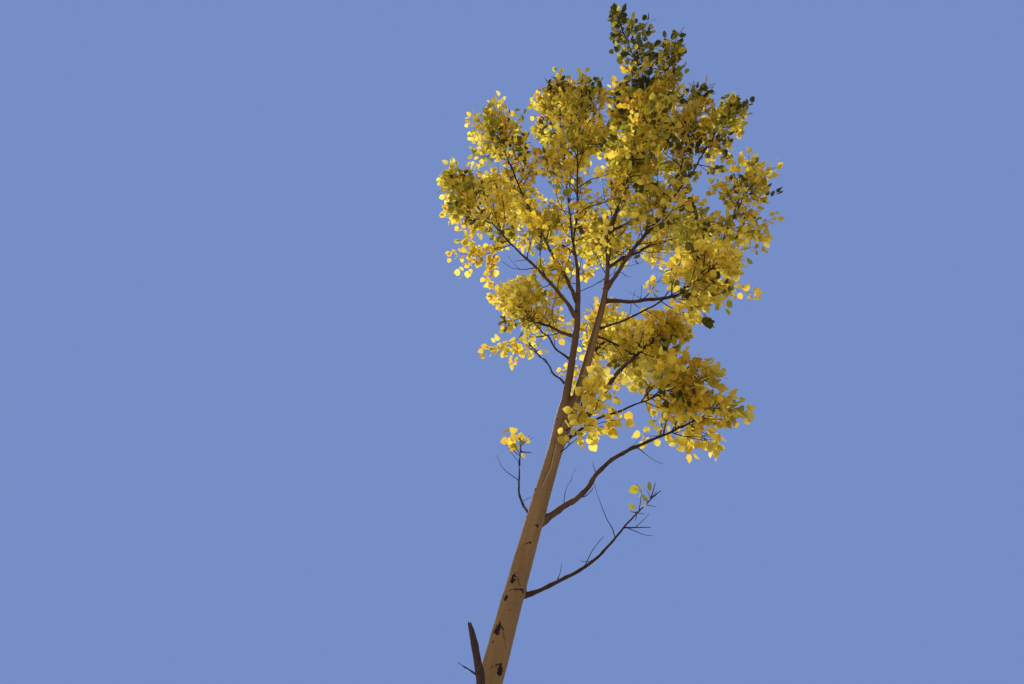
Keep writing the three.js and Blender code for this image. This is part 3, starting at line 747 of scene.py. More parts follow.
def barkMaterial():
    material, tree = newMaterial("poplarBark")
    place = addNode(tree, "ShaderNodeTexCoord", {}).outputs["Object"]
    streaks = noiseOn(tree, place, (26, 26, 2.6), 5, 0.6)
    patches = noiseOn(tree, place, (5, 5, 2.2), 4, 0.6)
    speckle = noiseOn(tree, place, (150, 150, 110), 3, 0.6)
    dashes = noiseOn(tree, place, (34, 34, 240), 1, 0.4)
    spread = noiseOn(tree, place, (9, 9, 6), 2, 0.5)
    scar = attribute(tree, "scar")
    dashMask = calculate(tree, "MULTIPLY", ramp(tree, dashes, 0.62, 0.70), ramp(tree, spread, 0.46, 0.6))
    broken = calculate(tree, "MULTIPLY", scar, ramp(tree, speckle, 0.2, 0.5, 0.75, 1.0))
    tone = mixColours(tree, ramp(tree, streaks, 0.35, 0.65), barkTones["tan"], barkTones["deepTan"])
    # Over the tan lie, from the bottom up: what shows, by which mask, from and to which value, how strongly.
    layers = [
        ("tinged", patches, 0.48, 0.68, 0.6), ("rosy", patches, 0.46, 0.30, 0.4),
        ("healed", attribute(tree, "healed"), 0.35, 0.85, 0.7), ("speckled", speckle, 0.5, 0.75, 0.35),
        # brown bark higher up, with painted shade on the side stem and on the main stem's left side
        ("brownAndShade", attribute(tree, "upper"), 0, 1, 0.85), ("foot", attribute(tree, "foot"), 0, 1, 0.6),
        ("dashed", dashMask, 0, 1, 0.7), ("scarred", broken, 0.2, 0.7, 1),
    ]
    for name, mask, low, high, most in layers:
        tone = mixColours(tree, ramp(tree, mask, low, high, 0, most), tone, barkTones[name])
    height = calculate(tree, "MULTIPLY", streaks, 0.5)
    height = calculate(tree, "MULTIPLY_ADD", speckle, 0.35, height)
    height = calculate(tree, "MULTIPLY_ADD", dashMask, -0.25, height)
    roughness = ramp(tree, calculate(tree, "ADD", speckle, scar), 0.3, 1.2, 0.7, 0.95)
    useShader(tree, dullSkin(tree, tone, roughness, 0.15, height, 0.55, 0.004))
    return material


showPiece("trunk_bark", makeBark(), barkMaterial(), "bark", "trunk", "main_stem", "side_stem")

# Boughs: round tapering limbs with swollen nodes, a flared root and small spurs.
boughLook = {
    "step": 0.014, "bevel": 3, "wander": ((10 * mm, 4.5), (3.5 * mm, 15.0)), "nodeSpacing": 0.085,
    "nodeSwelling": 0.2, "rootFlare": 0.6, "relief": 0.12, "stout": 0.016,
    "spurSpacing": 0.13, "spurFrom": 0.2, "spurLength": (0.05, 0.3), "spurRadius": 2.6 * mm,
    "leafySpurs": {"leafy_right_bough": 0.9, "middle_right_bough": 0.6},
}


# A line's own crookedness, which fades out at its two ends.
def crooked(points, share, seed):
    fade = np.clip(np.minimum(share, 1 - share) * 8, 0, 1)[:, None]
    for reach, scale in boughLook["wander"]:
        bends = np.array([noise.noise_vector(spot) for spot in (points * scale + seed * 3.1).tolist()])
        points = points + bends * reach * fade
    return points


def fineBough(limb, seed):
    points, radii = smoothLine(limb["points"], limb["radii"], boughLook["step"])
    run = runAlong(points)
    share = run / run[-1]
    points = crooked(points, share, seed)
    nodes = 0.5 + 0.5 * np.cos(2 * math.pi * run / boughLook["nodeSpacing"])
    swollen = 1 + boughLook["nodeSwelling"] * nodes ** 6 * np.clip(np.minimum(share, 1 - share) * 8, 0, 1)
    inside = np.linalg.norm(exitOf(limb) - points[0])
    flare = np.exp(-np.clip(run - inside, 0, None) / (2.2 * radii[0]))
    return points, radii * swollen * (1 + boughLook["rootFlare"] * flare), run


rng = np.random.default_rng(20)


def shootLine(root, course, length, steps, lift, crook):
    points = [root]
    heading = course
    for _ in range(steps):
        heading = unit(heading + up * lift / steps + rng.normal(0, crook, 3))
        points.append(points[-1] + heading * length / steps)
    return np.array(points)


def sideways(direction, turn):
    flat = unit(np.cross(direction, [0.0, 0.0, 1.0]) + 1e-9)
    return flat * math.cos(turn) + np.cross(direction, flat) * math.sin(turn)


spurSprays = []


def makeBoughs():
    tubes = []
    for i, limb in enumerate(limb for limb in limbs.values() if limb["foliage"] and "parent" in limb):
        points, radii, run = fineBough(limb, 32 + i)
        tubes.append((points, radii))
        spot = boughLook["spurFrom"]
        turn = 360 * chance(32 + i, 40)
        while spot < run[-1] - 0.05:
            at = int(np.searchsorted(run, spot))
            course = unit(points[at] - points[at - 1])
            out = unit(course + sideways(course, math.radians(turn)) * 1.2)
            length = rng.uniform(*boughLook["spurLength"])
            line = shootLine(points[at], out, length, 6, 0.4, 0.16)
            tubes.append((line, np.linspace(boughLook["spurRadius"], 0.9 * mm, len(line))))
            if rng.uniform() < boughLook["leafySpurs"].get(limb["name"], 0):
                spurSprays.append(line)
            spot += boughLook["spurSpacing"] * rng.uniform(0.6, 1.5)
            turn += goldenAngle
    mesh = tubesMesh("boughTubes", tubes, boughLook["bevel"])
    spots, normals = spotsOf(mesh)
    _, thick = nearestLimb(spots, boughNodes)
    pushOut(mesh, spots, normals, boughLook["relief"] * thick * noiseAt(spots, (60, 60, 45), 5.0))
    setValues(mesh, thick=np.clip(thick / boughLook["stout"], 0, 1))
    return mesh


twigTones = {
    "thin": ((0.03, 0.017, 0.01), (0.055, 0.032, 0.017)), "grain": (0.05, 0.035, 0.025),
    "stout": ((0.085, 0.048, 0.02), (0.14, 0.085, 0.04)),
}


def twigMaterial():
    material, tree = newMaterial("twigBark")
    place = addNode(tree, "ShaderNodeTexCoord", {}).outputs["Object"]
    patches = ramp(tree, noiseOn(tree, place, (14, 14, 14), 4, 0.6), 0.35, 0.65)
    grain = noiseOn(tree, place, (130, 130, 130), 3, 0.6)
    thin = mixColours(tree, patches, *twigTones["thin"])
    stout = mixColours(tree, patches, *twigTones["stout"])
    tone = mixColours(tree, ramp(tree, attribute(tree, "thick"), 0.35, 0.95), thin, stout)
    tone = mixColours(tree, ramp(tree, grain, 0.5, 0.72, 0, 0.55), tone, twigTones["grain"])
    useShader(tree, dullSkin(tree, tone, ramp(tree, grain, 0.3, 0.7, 0.7, 0.95), 0.1, grain, 0.5, 0.002))
    return material


twigBark = twigMaterial()
boughNodes = [limb["name"] for limb in limbs.values() if limb["foliage"] and "parent" in limb]
showPiece("bough_limbs", makeBoughs(), twigBark, "bark_dark", *boughNodes)

# The broken limb: weathered dead wood that ends in torn splinters, with one dead twig.
stubLook = {
    "taperFrom": 0.85, "splinters": 4, "splinterLength": (0.01, 0.028), "grooves": 0.16, "growth": 1.05,
    "twigAt": 0.52, "twigLength": 0.11, "straightFrom": 0.4, "straighter": 0.8,
    "wood": ((0.03, 0.017, 0.013), (0.075, 0.044, 0.03)), "grey": (0.085, 0.06, 0.05),
}


def makeStub():
    limb = limbs["broken_stub"]
    points, radii, run = fineBough(limb, 31)
    share = run / run[-1]
    first = int(np.searchsorted(share, stubLook["straightFrom"]))
    onChord = (share[first:] - share[first]) / (1 - share[first])
    chord = lerp(points[first], points[-1], onChord[:, None])
    points[first:] = lerp(points[first:], chord, stubLook["straighter"])
    radii = radii * stubLook["growth"] * (1 - 0.4 * smoothStep(share, stubLook["taperFrom"], 1.0) ** 2)
    tubes = [(points, radii)]
    course = unit(points[-1] - points[-4])
    for i in range(stubLook["splinters"]):
        at = len(points) - 2 - 2 * i
        turn = math.radians(i * goldenAngle)
        root = points[at] + sideways(course, turn) * radii[at] * 0.55
        length = rng.uniform(*stubLook["splinterLength"])
        line = shootLine(root, unit(course + sideways(course, turn) * 0.12), length, 4, 0, 0.05)
        tubes.append((line, np.linspace(radii[at] * 0.45, 0.5 * mm, len(line))))
    at = int(stubLook["twigAt"] * len(points))
    out = unit(points[at + 3] - points[at] + np.array([-0.03, -0.004, 0]))
    line = shootLine(points[at], out, stubLook["twigLength"], 7, 0.1, 0.12)
    tubes.append((line, np.linspace(2.6 * mm, 1.4 * mm, len(line))))
    mesh = tubesMesh("stubTubes", tubes, 5)
    spots, normals = spotsOf(mesh)
    _, thick = nearestLimb(spots, ["broken_stub"])
    fibres = noiseAt(spots, (120, 120, 14), 9.0) + 0.5 * noiseAt(spots, (240, 240, 30), 2.0)
    pushOut(mesh, spots, normals, stubLook["grooves"] * thick * fibres)
    return mesh


def stubMaterial():
    material, tree = newMaterial("deadWood")
    place = addNode(tree, "ShaderNodeTexCoord", {}).outputs["Object"]
    fibres = noiseOn(tree, place, (150, 150, 16), 4, 0.65)
    patches = noiseOn(tree, place, (22, 22, 12), 3, 0.6)
    wood = mixColours(tree, ramp(tree, fibres, 0.35, 0.65), *stubLook["wood"])
    greyed = mixColours(tree, ramp(tree, patches, 0.5, 0.7, 0, 0.5), wood, stubLook["grey"])
    useShader(tree, dullSkin(tree, greyed, ramp(tree, fibres, 0.3, 0.7, 0.7, 0.95), 0.2, fibres, 0.7, 0.003))
    return material


showPiece("broken_stub_wood", makeStub(), stubMaterial(), "bark_dark", "broken_stub")

# Twigs: those of the source first, then finer ones by the same rule, and side twigs on all of them.
twigRule = {
    "first": 0.1, "firstOnStem": 0.25, "last": 0.92, "spread": (64, 40), "length": (0.6, 0.42),
    "shortest": 0.06, "shrink": 0.85, "radius": (6 * mm, 4 * mm), "choice": {"length": 700, "turn": 900},
}
sprayRule = {
    "length": 0.3, "width": 0.25, "thickness": 0.009, "shoulder": 0.4, "neck": 0.12,
    "sizes": (1.1, 0.95, 0.8, 0.65, 0.5), "onTwig": ((0.45, 1), (0.8, -1), (1, 0)),
    "atEnd": ((1, 0), (0.3, 1)), "endChoice": 800,
}
finer = {
    "twigsPerTwig": 1.9, "length": 1.2, "sideSpacing": 0.07, "sideFrom": 0.12, "sideLength": (0.07, 0.24),
    "sideSpread": 48, "lift": 0.5, "crook": 0.09, "stemSides": 0.08,
    "twigRadius": (4.6 * mm, 1.9 * mm), "sideRadius": (2.4 * mm, 1.1 * mm),
}


# The blade that the source puts here, as its root, direction and length, or None where it has no room.
def sprayAt(line, share, turn, index, choice):
    seed = masses[index]["seed"]
    pick = [chance(seed, choice + n) for n in range(5)]
    root, direction = placeOn(line, share)
    flat = unit(np.cross(direction, up))
    course = direction + flat * turn * lerp(0.8, 1.2, pick[1])
    course = unit(course + up * lerp(-0.3, 0.3, pick[2]))
    normal = np.array([lerp(-0.9, 0.9, pick[3]), lerp(-0.9, 0.9, pick[4]), 1])
    side = unit(np.cross(course, normal))
    face = np.cross(course, side)
    for size in sprayRule["sizes"]:
        length, half = sprayRule["length"] * size, sprayRule["width"] * size / 2
        middle = root + course * length * sprayRule["shoulder"]
        corners = np.array([root + course * length, middle + side * half, middle - side * half])
        neck = root + course * length * sprayRule["neck"]
        tried = np.vstack([corners, lerp(corners, root, 0.4), neck + face * sprayRule["thickness"] / 2])
        if isFree(tried[:-1], index).all():
            return root, course, length
    return None


def twigCourse(i, share, index, vigour):
    mass = masses[index]
    root, direction = placeOn(mass["points"], share)
    turn = math.radians(i * goldenAngle + 360 * chance(mass["seed"], twigRule["choice"]["turn"]))
    out = unit(np.cross([1.0, 0, 0], direction))
    out = out * math.cos(turn) + np.cross(direction, out) * math.sin(turn)
    spread = math.radians(along(twigRule["spread"], share))
    course = direction * math.cos(spread) + out * math.sin(spread)
    length = vigour * mass["reach"] * along(twigRule["length"], share)
    while not isFree((root + course * length)[None], index)[0]:
        length *= twigRule["shrink"]
        if length < twigRule["shortest"]:
            return None
    return root, course, length


# The share of its sprays that a mass still bears. The low boughs are nearly bare.
leafiness = {
    "lowest_right_foliage": 0.06, "low_left_foliage": 0.15, "bare_left_foliage": 0.15,
    "crooked_left_foliage": 0.3, "long_right_foliage": 0.6, "main_foliage": 0.85,
    "top_shoot_6_foliage": 0.3, "top_shoot_5_foliage": 0.5, "front_top_foliage": 0.75,
}
# Each shoot keeps to its own part of the mass's reach, so that the outline is loose and feathery. A leader
# runs on past the mass's stem. A broad top narrows less, and the spread makes a mass narrower or wider.
outline = {"reach": (0.72, 1.2), "change": 0.3, "scale": 2.6, "mingle": -0.12, "taper": 0.7,
           "leader": 0.08, "sparse": 0.2}
longLeaders = {"main_foliage": 0.16, "outer_right_foliage": 0.2, "side_foliage": 0.28}
broadTops = {"outer_right_foliage": 0.25, "upper_left_foliage": 0.5}
spreads = {
    "main_foliage": 0.5, "front_top_foliage": 0.55, "top_shoot_5_foliage": 0.6, "top_shoot_6_foliage": 0.55,
    "upper_right_foliage": 0.75, "outer_right_foliage": 1.1,
}


# The length of a shoot that stays in its reach, or 0 where it would be too short. Without a mass it may
# grow anywhere.
def fitLength(root, course, length, index, least):
    if index is None:
        return length
    own = rng.uniform(*outline["reach"]) + outline["change"] * noiseAt(root[None], outline["scale"], 4.0)[0]
    name = masses[index]["name"]
    own *= spreads.get(name, 1)
    taper = broadTops.get(name, outline["taper"])
    while length > least:
        if isFree((root + course * length)[None], index, outline["mingle"], 0.004, own, taper)[0]:
            return length
        length *= 0.85
    return 0


# The twigs so far, and those of them that bear leaves: a line, its mass and the bare share at its foot.
class Growth:
    def __init__(self):
        self.tubes = []
        self.sprays = []

    def add(self, line, radii, index, bareShare):
        self.tubes.append((line, np.linspace(*radii, len(line))))
        if bareShare is not None:
            self.sprays.append((line, index, bareShare))


# Side twigs stand round a twig, one every turn of the golden angle, and stay in the mass's own space.
def sideTwigs(line, index, spacing, start):
    found = []
    length = np.linalg.norm(line[-1] - line[0])
    spot, turn = length * start, rng.uniform(0, 360)
    spread = math.radians(finer["sideSpread"])
    while spot < length:
        root, direction = placeOn(line, spot / length)
        course = direction * math.cos(spread) + sideways(direction, math.radians(turn)) * math.sin(spread)
        size = fitLength(root, course, rng.uniform(*finer["sideLength"]), index, 0.035)
        if size:
            found.append((root, course, size))
        spot += spacing * rng.uniform(0.6, 1.5)
        turn += goldenAngle
    return found


def sourceTwigs(mass, index, first):
    bearers, sprays = [], []
    for i in range(mass["twigs"]):
        share = lerp(first, twigRule["last"], i / (mass["twigs"] - 1))
        vigour = lerp(0.85, 1.15, chance(mass["seed"], twigRule["choice"]["length"] + i))
        found = twigCourse(i, share, index, vigour)
        if found is None:
            continue
        root, course, length = found
        straight = np.array([root, root + course * length])
        for k, (at, turn) in enumerate(sprayRule["onTwig"]):
            sprays.append(sprayAt(straight, at, turn, index, 40 * i + 10 * k))
        bearers.append(straight)
    for k, (at, turn) in enumerate(sprayRule["atEnd"]):
        sprays.append(sprayAt(mass["points"][-2:], at, turn, index, sprayRule["endChoice"] + 10 * k))
    return bearers, [spray for spray in sprays if spray]


def growMass(index, growth):
    mass = masses[index]
    first = twigRule["firstOnStem"] if mass["onStem"] else twigRule["first"]
    stem = mass["points"]
    leader = longLeaders.get(mass["name"], outline["leader"])
    longer = np.vstack([stem, stem[-1] + unit(stem[-1] - stem[-2]) * leader])
    stemRadii = lerp(mass["radius"], finer["twigRadius"][1], np.linspace(0, 1, len(longer)))
    fineStem, fineRadii = smoothLine(longer, stemRadii, 0.025)
    fineStem = crooked(fineStem, np.linspace(0, 1, len(fineStem)), mass["seed"])
    growth.tubes.append((fineStem, fineRadii))
    growth.sprays.append((fineStem[-12:], index, 0.05))
    sides = sideTwigs(fineStem, index, finer["stemSides"], 0.3)
    bearers, sprays = sourceTwigs(mass, index, first)
    sides += sprays
    sparse = leafiness.get(mass["name"], 1) < outline["sparse"]
    extra = 0 if sparse else round(mass["twigs"] * finer["twigsPerTwig"])
    for i in range(extra):
        share = lerp(first, 1.0, (i + 0.5) / extra)
        found = twigCourse(i + mass["twigs"], share, index, finer["length"] * rng.uniform(0.6, 1.15))
        if found:
            root, course, length = found
            bearers.append(np.array([root, root + course * length]))
    for straight in bearers:
        length = np.linalg.norm(straight[1] - straight[0])
        length = fitLength(straight[0], (straight[1] - straight[0]) / length, length, index, 0.05)
        if length:
            steps = max(int(length / 0.035), 3)
            line = shootLine(straight[0], unit(straight[1] - straight[0]), length, steps, 0.15,
                             finer["crook"] * 0.7)
            growth.add(line, finer["twigRadius"], index, 0.45)
            sides += sideTwigs(line, index, finer["sideSpacing"] * (2 if sparse else 1), finer["sideFrom"])
    for root, course, length in sides:
        length = fitLength(root, course, length, index, 0.03)
        if length:
            steps = max(int(length / 0.03), 2)
            line = shootLine(root, course, length * 0.92, steps, finer["lift"] * 0.5, finer["crook"])
            growth.add(line, finer["sideRadius"], index, 0.15)


# Twigs along the limbs of the crown, between the masses. Many of those near a limb's foot are bare.
limbTwigs = {
    "from": 0.35, "spacing": 0.07, "length": (0.14, 0.46), "spread": 1.1, "lift": 0.5, "crook": 0.16,
    "radius": (4.2 * mm, 1.6 * mm), "bare": 0.4, "sides": 0.075, "leafless": 0.75,
    "stems": {"main_stem": 4.3, "side_stem": 4.1},
}


def addSides(line, growth, start, size, lift, leafy=True):
    for root, course, length in sideTwigs(line, None, limbTwigs["sides"], start):
        side = shootLine(root, course, length * size, 3, lift, limbTwigs["crook"])
        growth.add(side, finer["sideRadius"], None, 0.2 if leafy else None)


def growLimb(limb, growth):
    points, radii = smoothLine(limb["points"], limb["radii"], 0.02)
    run = runAlong(points)
    spot = limbTwigs["from"] * run[-1]
    if limb["name"] in limbTwigs["stems"]:
        spot = float(np.interp(limbTwigs["stems"][limb["name"]], points[:, 2], run))
    turn = rng.uniform(0, 360)
    while spot < run[-1]:
        at = max(int(np.searchsorted(run, spot)), 1)
        course = unit(points[at] - points[at - 1])
        out = unit(course + sideways(course, math.radians(turn)) * limbTwigs["spread"])
        length = rng.uniform(*limbTwigs["length"])
        line = shootLine(points[at], out, length, max(int(length / 0.04), 3), limbTwigs["lift"],
                         limbTwigs["crook"])
        leafy = rng.uniform() > limbTwigs["leafless"] * (1 - spot / run[-1])
        growth.add(line, limbTwigs["radius"], None, limbTwigs["bare"] if leafy else None)
        addSides(line, growth, limbTwigs["bare"], 0.7, limbTwigs["lift"], leafy)
        spot += limbTwigs["spacing"] * rng.uniform(0.6, 1.5)
        turn += goldenAngle


# Short leafy shoots out of the trunk just below the fork: height, heading, length.
trunkShoots = [
    (2.76, 322, 0.20), (2.84, 344, 0.26), (2.90, 312, 0.16),
    (2.97, 328, 0.24), (3.04, 314, 0.20), (3.08, 340, 0.24),
]


def growTrunkShoots(growth):
    for height, heading, length in trunkShoots:
        turn = math.radians(heading)
        out = bearing(heading, 0)
        root = trunkCentre(height) + out * trunkRadius(height, turn) * 0.9
        line = shootLine(root, unit(out + up * 0.5), length, 6, 0.3, limbTwigs["crook"])
        growth.add(line, limbTwigs["radius"], None, 0.25)
        addSides(line, growth, 0.3, 0.5, 0.2)


growth = Growth()
growTrunkShoots(growth)
for massIndex in range(len(masses)):
    growMass(massIndex, growth)
for limb in leafyLimbs:
    if limb["name"] not in bareBoughs:
        growLimb(limb, growth)
twigMesh = tubesMesh("twigTubes", growth.tubes, 0)
setValues(twigMesh, thick=np.zeros(len(twigMesh.vertices)))
showPiece("leafy_twigs", twigMesh, twigBark, "bark_dark")

# Leaves: round with a short point, on long stalks, in five tints dealt out by spray.
leafLook = {
    "length": (0.033, 0.056), "leader": 1.35, "width": 0.98, "stalk": (0.022, 0.045),
    "stalkRadius": 0.8 * mm, "spacing": 0.028, "leaderSpacing": 2.2, "perNode": (1, 2), "atTip": 3,
    "fold": (0.05, 0.35), "curl": (-0.25, 0.15), "hang": 0.45, "mingle": -0.3, "reach": 1.25, "shed": 0.08,
    "pastBox": 0.06,
}
# Half of the outline from the foot of the blade to its point, across and along.
leafOutline = [(0.0, 0.0), (0.28, 0.01), (0.46, 0.20), (0.50, 0.42), (0.42, 0.64), (0.22, 0.85), (0.0, 1.04)]
leafRib = [0.34, 0.68]


# One leaf, flat: spots, faces, and the place of each spot on the blade. The stalk is put after the blade
# where the leaves are built.
def leafPattern():
    right = leafOutline[1:-1]
    left = [(-x, y) for x, y in reversed(right)]
    blade = [leafOutline[0], *right, leafOutline[-1], *left, *((0, y) for y in leafRib)]
    tip = len(right) + 1
    lowRib, highRib = len(blade) - 2, len(blade) - 1
    faces = []
    for edge, step in ((list(range(tip + 1)), 1), ([0, *range(2 * tip - 1, tip - 1, -1)], -1)):
        fans = [(*edge[i:i + 2], lowRib if i < 3 else highRib) for i in range(tip)]
        fans.insert(3, (edge[3], highRib, lowRib))
        faces += [fan[::step] for fan in fans]
    return np.array(blade, float), faces


# Shares of yellow, gold, amber, olive and moss. The lower and farther leaves are yellower; the higher and
# nearer ones get more olive and moss, which is partly leaf colour and partly painted shade of the crown's
# shaded front. The leader's leaves, mostly moss, are still green and painted shade.
tintShares = {"low": (0.56, 0.29, 0.08, 0.06, 0.01), "high": (0.19, 0.21, 0.10, 0.35, 0.15),
              "leader": (0.0, 0.02, 0.06, 0.13, 0.79)}


def sprayTint(spot):
    low, high, leader = (np.array(tintShares[part]) for part in ("low", "high", "leader"))
    # more olive and moss higher up and towards the camera: painted shade of the crown's shaded side, besides
    # leaf colour
    weights = lerp(low, high, 0.6 * smoothStep(spot[2], 3.6, 6.4) + 0.4 * smoothStep(-spot[1], -0.6, 0.9))
    weights = lerp(weights, leader, smoothStep(spot[2], 6.4, 7.05))
    return rng.choice(5, p=weights / weights.sum())


def placeLeaves(line, bareShare):
    length = np.linalg.norm(np.diff(line, axis=0), axis=1).sum()
    airy = lerp(1, leafLook["leaderSpacing"], smoothStep(line[0][2], 6.8, 7.3))
    count = max(int(length * (1 - bareShare) / (leafLook["spacing"] * airy)), 1)
    rows = []
    turn = rng.uniform(0, 2 * math.pi)
    for i in range(count + 1):
        share = lerp(bareShare, 1.0, i / count)
        root, direction = placeOn(line, share)
        turn += math.radians(goldenAngle)
        number = rng.integers(leafLook["perNode"][0], leafLook["perNode"][1] + 1)
        if i == count:
            number = round(leafLook["atTip"] / airy)
        for k in range(number):
            angle = rng.uniform(0.4, 1.25)
            out = sideways(direction, turn + k * 2.2 + rng.normal(0, 0.3))
            stalk = unit(direction * math.cos(angle) + out * math.sin(angle) - up * rng.uniform(0, 0.35))
            foot = root + stalk * rng.uniform(*leafLook["stalk"])
            course = unit(stalk - up * leafLook["hang"] * rng.uniform(0.2, 1.6) + rng.normal(0, 0.35, 3))
            side = unit(np.cross(course, rng.normal(0, 1, 3)))
            size = lerp(1, leafLook["leader"], smoothStep(root[2], 6.4, 7.2))
            size *= rng.uniform(*leafLook["length"])
            rows.append(np.concatenate([root, foot, course, side, [size]]))
    return rows


# A row is one leaf: its root and foot, the course and side of its blade, and its length.
def middles(rows):
    return rows[:, 3:6] + rows[:, 6:9] * rows[:, 12:] * 0.5


def inBox(rows):
    middle, half = middles(rows), rows[:, 12:] * 0.55
    low = np.array(cadBox[0]) - leafLook["pastBox"]
    high = np.array(cadBox[1]) + leafLook["pastBox"]
    return ((middle - half > low) & (middle + half < high)).all(1)


def leafRows():
    tints = [[] for _ in range(5)]
    full = 1 - leafLook["shed"]
    for line, index, bareShare in growth.sprays:
        name = None if index is None else masses[index]["name"]
        if rng.uniform() > leafiness.get(name, full):
            continue
        rows = np.array(placeLeaves(line, bareShare))
        rows = rows[inBox(rows)]
        if name:
            taper = broadTops.get(name, outline["taper"]) / 2
            rows = rows[isFree(middles(rows), index, leafLook["mingle"], 0.012, leafLook["reach"], taper)]
        if len(rows):
            tints[sprayTint(line[0])].append(rows)
    for line in spurSprays:
        rows = np.array(placeLeaves(line, 0.5))
        tints[sprayTint(line[0])].append(rows[inBox(rows)])
    return [np.concatenate(found) for found in tints]


def leavesMesh(name, rows):
    blade, faces = leafPattern()
    count, spots = len(rows), len(blade)
    root, foot, course, side, size = rows[:, :3], rows[:, 3:6], rows[:, 6:9], rows[:, 9:12], rows[:, 12:]
    face = np.cross(side, course)
    fold = rng.uniform(*leafLook["fold"], count)[:, None]
    curl = rng.uniform(*leafLook["curl"], count)[:, None]
    wave = rng.normal(0, 0.05, (count, spots))
    across = blade[:, 0] * leafLook["width"]
    ahead = blade[:, 1]
    lift = fold * np.abs(across) + curl * ahead ** 2 + wave * (np.abs(across) > 0.3)
    bladeSpots = foot[:, None] + size[:, None] * (
        side[:, None] * across[:, None] + course[:, None] * ahead[:, None] + face[:, None] * lift[..., None])
    # the stalk is a three-sided tube, thinner where it meets the blade
    stalk = unit(foot - root)
    first = unit(np.cross(stalk, side))
    second = np.cross(stalk, first)
    corners = np.array([0, 2, 4])[:, None] * math.pi / 3
    rim = (first[:, None] * np.cos(corners) + second[:, None] * np.sin(corners)) * leafLook["stalkRadius"]
    allSpots = np.concatenate([bladeSpots, root[:, None] + rim, foot[:, None] + rim * 0.6], axis=1)
    for i in range(3):
        low, beside = spots + i, spots + (i + 1) % 3
        faces += [(low, beside, beside + 3), (low, beside + 3, low + 3)]
    pattern = np.array(faces)
    corner = (pattern[None] + (np.arange(count) * allSpots.shape[1])[:, None, None]).reshape(-1)
    mesh = bpy.data.meshes.new(name)
    mesh.vertices.add(count * allSpots.shape[1])
    mesh.vertices.foreach_set("co", allSpots.ravel())
    mesh.loops.add(len(corner))
    mesh.loops.foreach_set("vertex_index", corner.astype(np.int32))
    mesh.polygons.add(len(corner) // 3)
    mesh.polygons.foreach_set("loop_start", np.arange(0, len(corner), 3, dtype=np.int32))
    mesh.update(calc_edges=True)
    uv = np.concatenate([np.c_[blade[:, 0] + 0.5, blade[:, 1]], np.tile([0.5, 0.0], (6, 1))])
    layer = mesh.uv_layers.new(name="leafPlace")
    layer.uv.foreach_set("vector", np.tile(uv[pattern.ravel()], (count, 1)).astype(np.float32).ravel())
    setValues(mesh, leafShade=np.repeat(rng.uniform(0, 1, count), allSpots.shape[1]))
    return mesh


# The colour of the face, of its deeper blotches, and of the light that comes through.
leafTints = {
    "leaves_yellow": ((0.76, 0.59, 0.06), (0.56, 0.41, 0.03), (0.98, 0.84, 0.14)),
    "leaves_gold": ((0.68, 0.475, 0.04), (0.49, 0.325, 0.025), (0.97, 0.73, 0.08)),
    "leaves_amber": ((0.50, 0.33, 0.03), (0.33, 0.21, 0.02), (0.85, 0.58, 0.06)),
    # the olive and the dark moss tints carry painted shade as well as leaf colour
    "leaves_olive": ((0.33, 0.285, 0.03), (0.20, 0.175, 0.02), (0.60, 0.53, 0.04)),
    "leaves_moss": ((0.085, 0.078, 0.018), (0.05, 0.046, 0.012), (0.17, 0.15, 0.02)),
}


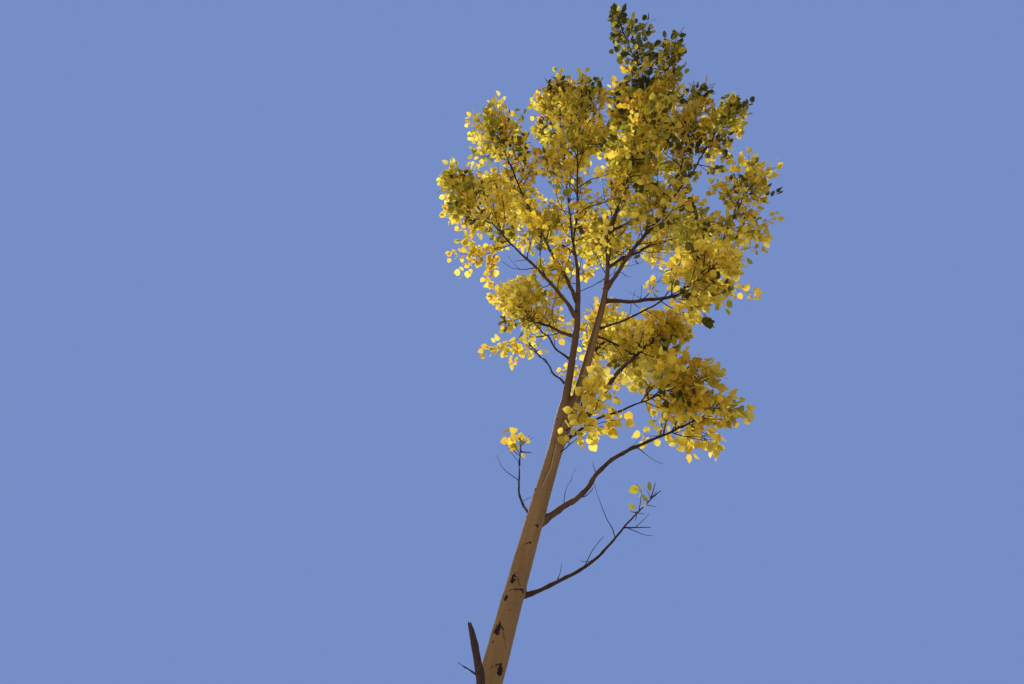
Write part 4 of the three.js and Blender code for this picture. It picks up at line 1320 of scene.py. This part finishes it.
def leafMaterial(name, face, deep, glow):
    material, tree = newMaterial(name)
    place = addNode(tree, "ShaderNodeTexCoord", {})
    shade = attribute(tree, "leafShade")
    blotches = noiseOn(tree, place.outputs["Object"], (55, 55, 55), 3, 0.6)
    onBlade = addNode(tree, "ShaderNodeSeparateXYZ", {0: place.outputs["UV"]})
    fromRib = calculate(tree, "ABSOLUTE", calculate(tree, "SUBTRACT", onBlade.outputs[0], 0.5))
    slant = calculate(tree, "SUBTRACT", onBlade.outputs[1], calculate(tree, "MULTIPLY", fromRib, 0.9))
    sideVein = calculate(tree, "PINGPONG", calculate(tree, "MULTIPLY", slant, 6.5), 0.5)
    sideVeins = ramp(tree, sideVein, 0.07, 0.0, 0, 0.6)
    vein = calculate(tree, "MAXIMUM", sideVeins, ramp(tree, fromRib, 0.03, 0.01))
    fewVeins = calculate(tree, "MULTIPLY", vein, 0.3)
    tone = mixColours(tree, shade, face, deep)
    tone = mixColours(tree, ramp(tree, blotches, 0.5, 0.8, 0, 0.6), tone, deep)
    tone = mixColours(tree, fewVeins, tone, glow)
    through = mixColours(tree, calculate(tree, "MULTIPLY", shade, 0.5), glow, face)
    through = mixColours(tree, fewVeins, through, face)
    skin = dullSkin(tree, tone, ramp(tree, blotches, 0.3, 0.7, 0.55, 0.8), 0.1, vein, 0.3, 0.001)
    lit = addNode(tree, "ShaderNodeBsdfTranslucent", {"Color": through})
    leaf = addNode(tree, "ShaderNodeMixShader", {0: 0.5, 1: skin, 2: lit.outputs[0]})
    useShader(tree, leaf.outputs[0])
    return material


for (slot, tones), rows in zip(leafTints.items(), leafRows()):
    own = [mass["name"] for mass in masses if slotOf[mass["name"]] == slot]
    showPiece(slot, leavesMesh(slot, rows), leafMaterial(slot, *tones), slot, *own)

# A pale floor and soft studio light, with the stronger lamp behind the tree so that its leaves glow.
studio = {
    "floorSize": 40, "floor": (0.50, 0.475, 0.43), "sky": (0.19, 0.285, 0.60), "skyStrength": 0.95,
    "lamps": [
        # place, size, power, colour
        ((-5.3, 11.0, 15.0), 4.0, 4900, (1.0, 0.93, 0.80)),
        ((6.0, -9.0, 5.0), 6.0, 280, (1.0, 0.66, 0.28)),
        ((-8.0, -5.0, 4.0), 6.0, 240, (1.0, 0.66, 0.28)),
    ],
    "aim": (0.0, 0.0, 4.5),
}


def setStudio():
    plane = bmesh.new()
    bmesh.ops.create_grid(plane, x_segments=1, y_segments=1, size=studio["floorSize"] / 2)
    mesh = bpy.data.meshes.new("floor")
    plane.to_mesh(mesh)
    plane.free()
    floor = newObject("floor", mesh)
    material, tree = newMaterial("paleFloor")
    matt = addNode(tree, "ShaderNodeBsdfPrincipled", {
        "Base Color": (*studio["floor"], 1), "Roughness": 0.9})
    useShader(tree, matt.outputs[0])
    mesh.materials.append(material)
    world = bpy.data.worlds.new("studio")
    world.use_nodes = True
    back = world.node_tree.nodes["Background"]
    back.inputs[0].default_value = (*studio["sky"], 1)
    back.inputs[1].default_value = studio["skyStrength"]
    scene.world = world
    scene.view_settings.view_transform = "Standard"
    for i, (place, size, power, tone) in enumerate(studio["lamps"]):
        data = bpy.data.lights.new(f"lamp{i + 1}", "AREA")
        data.size = size
        data.energy = power
        data.color = tone
        lamp = newObject(data.name, data)
        aim = Vector(studio["aim"]) - Vector(place)
        lamp.matrix_world = Matrix.Translation(place) @ aim.to_track_quat("-Z", "Y").to_matrix().to_4x4()


setStudio()
print("poplar: done")
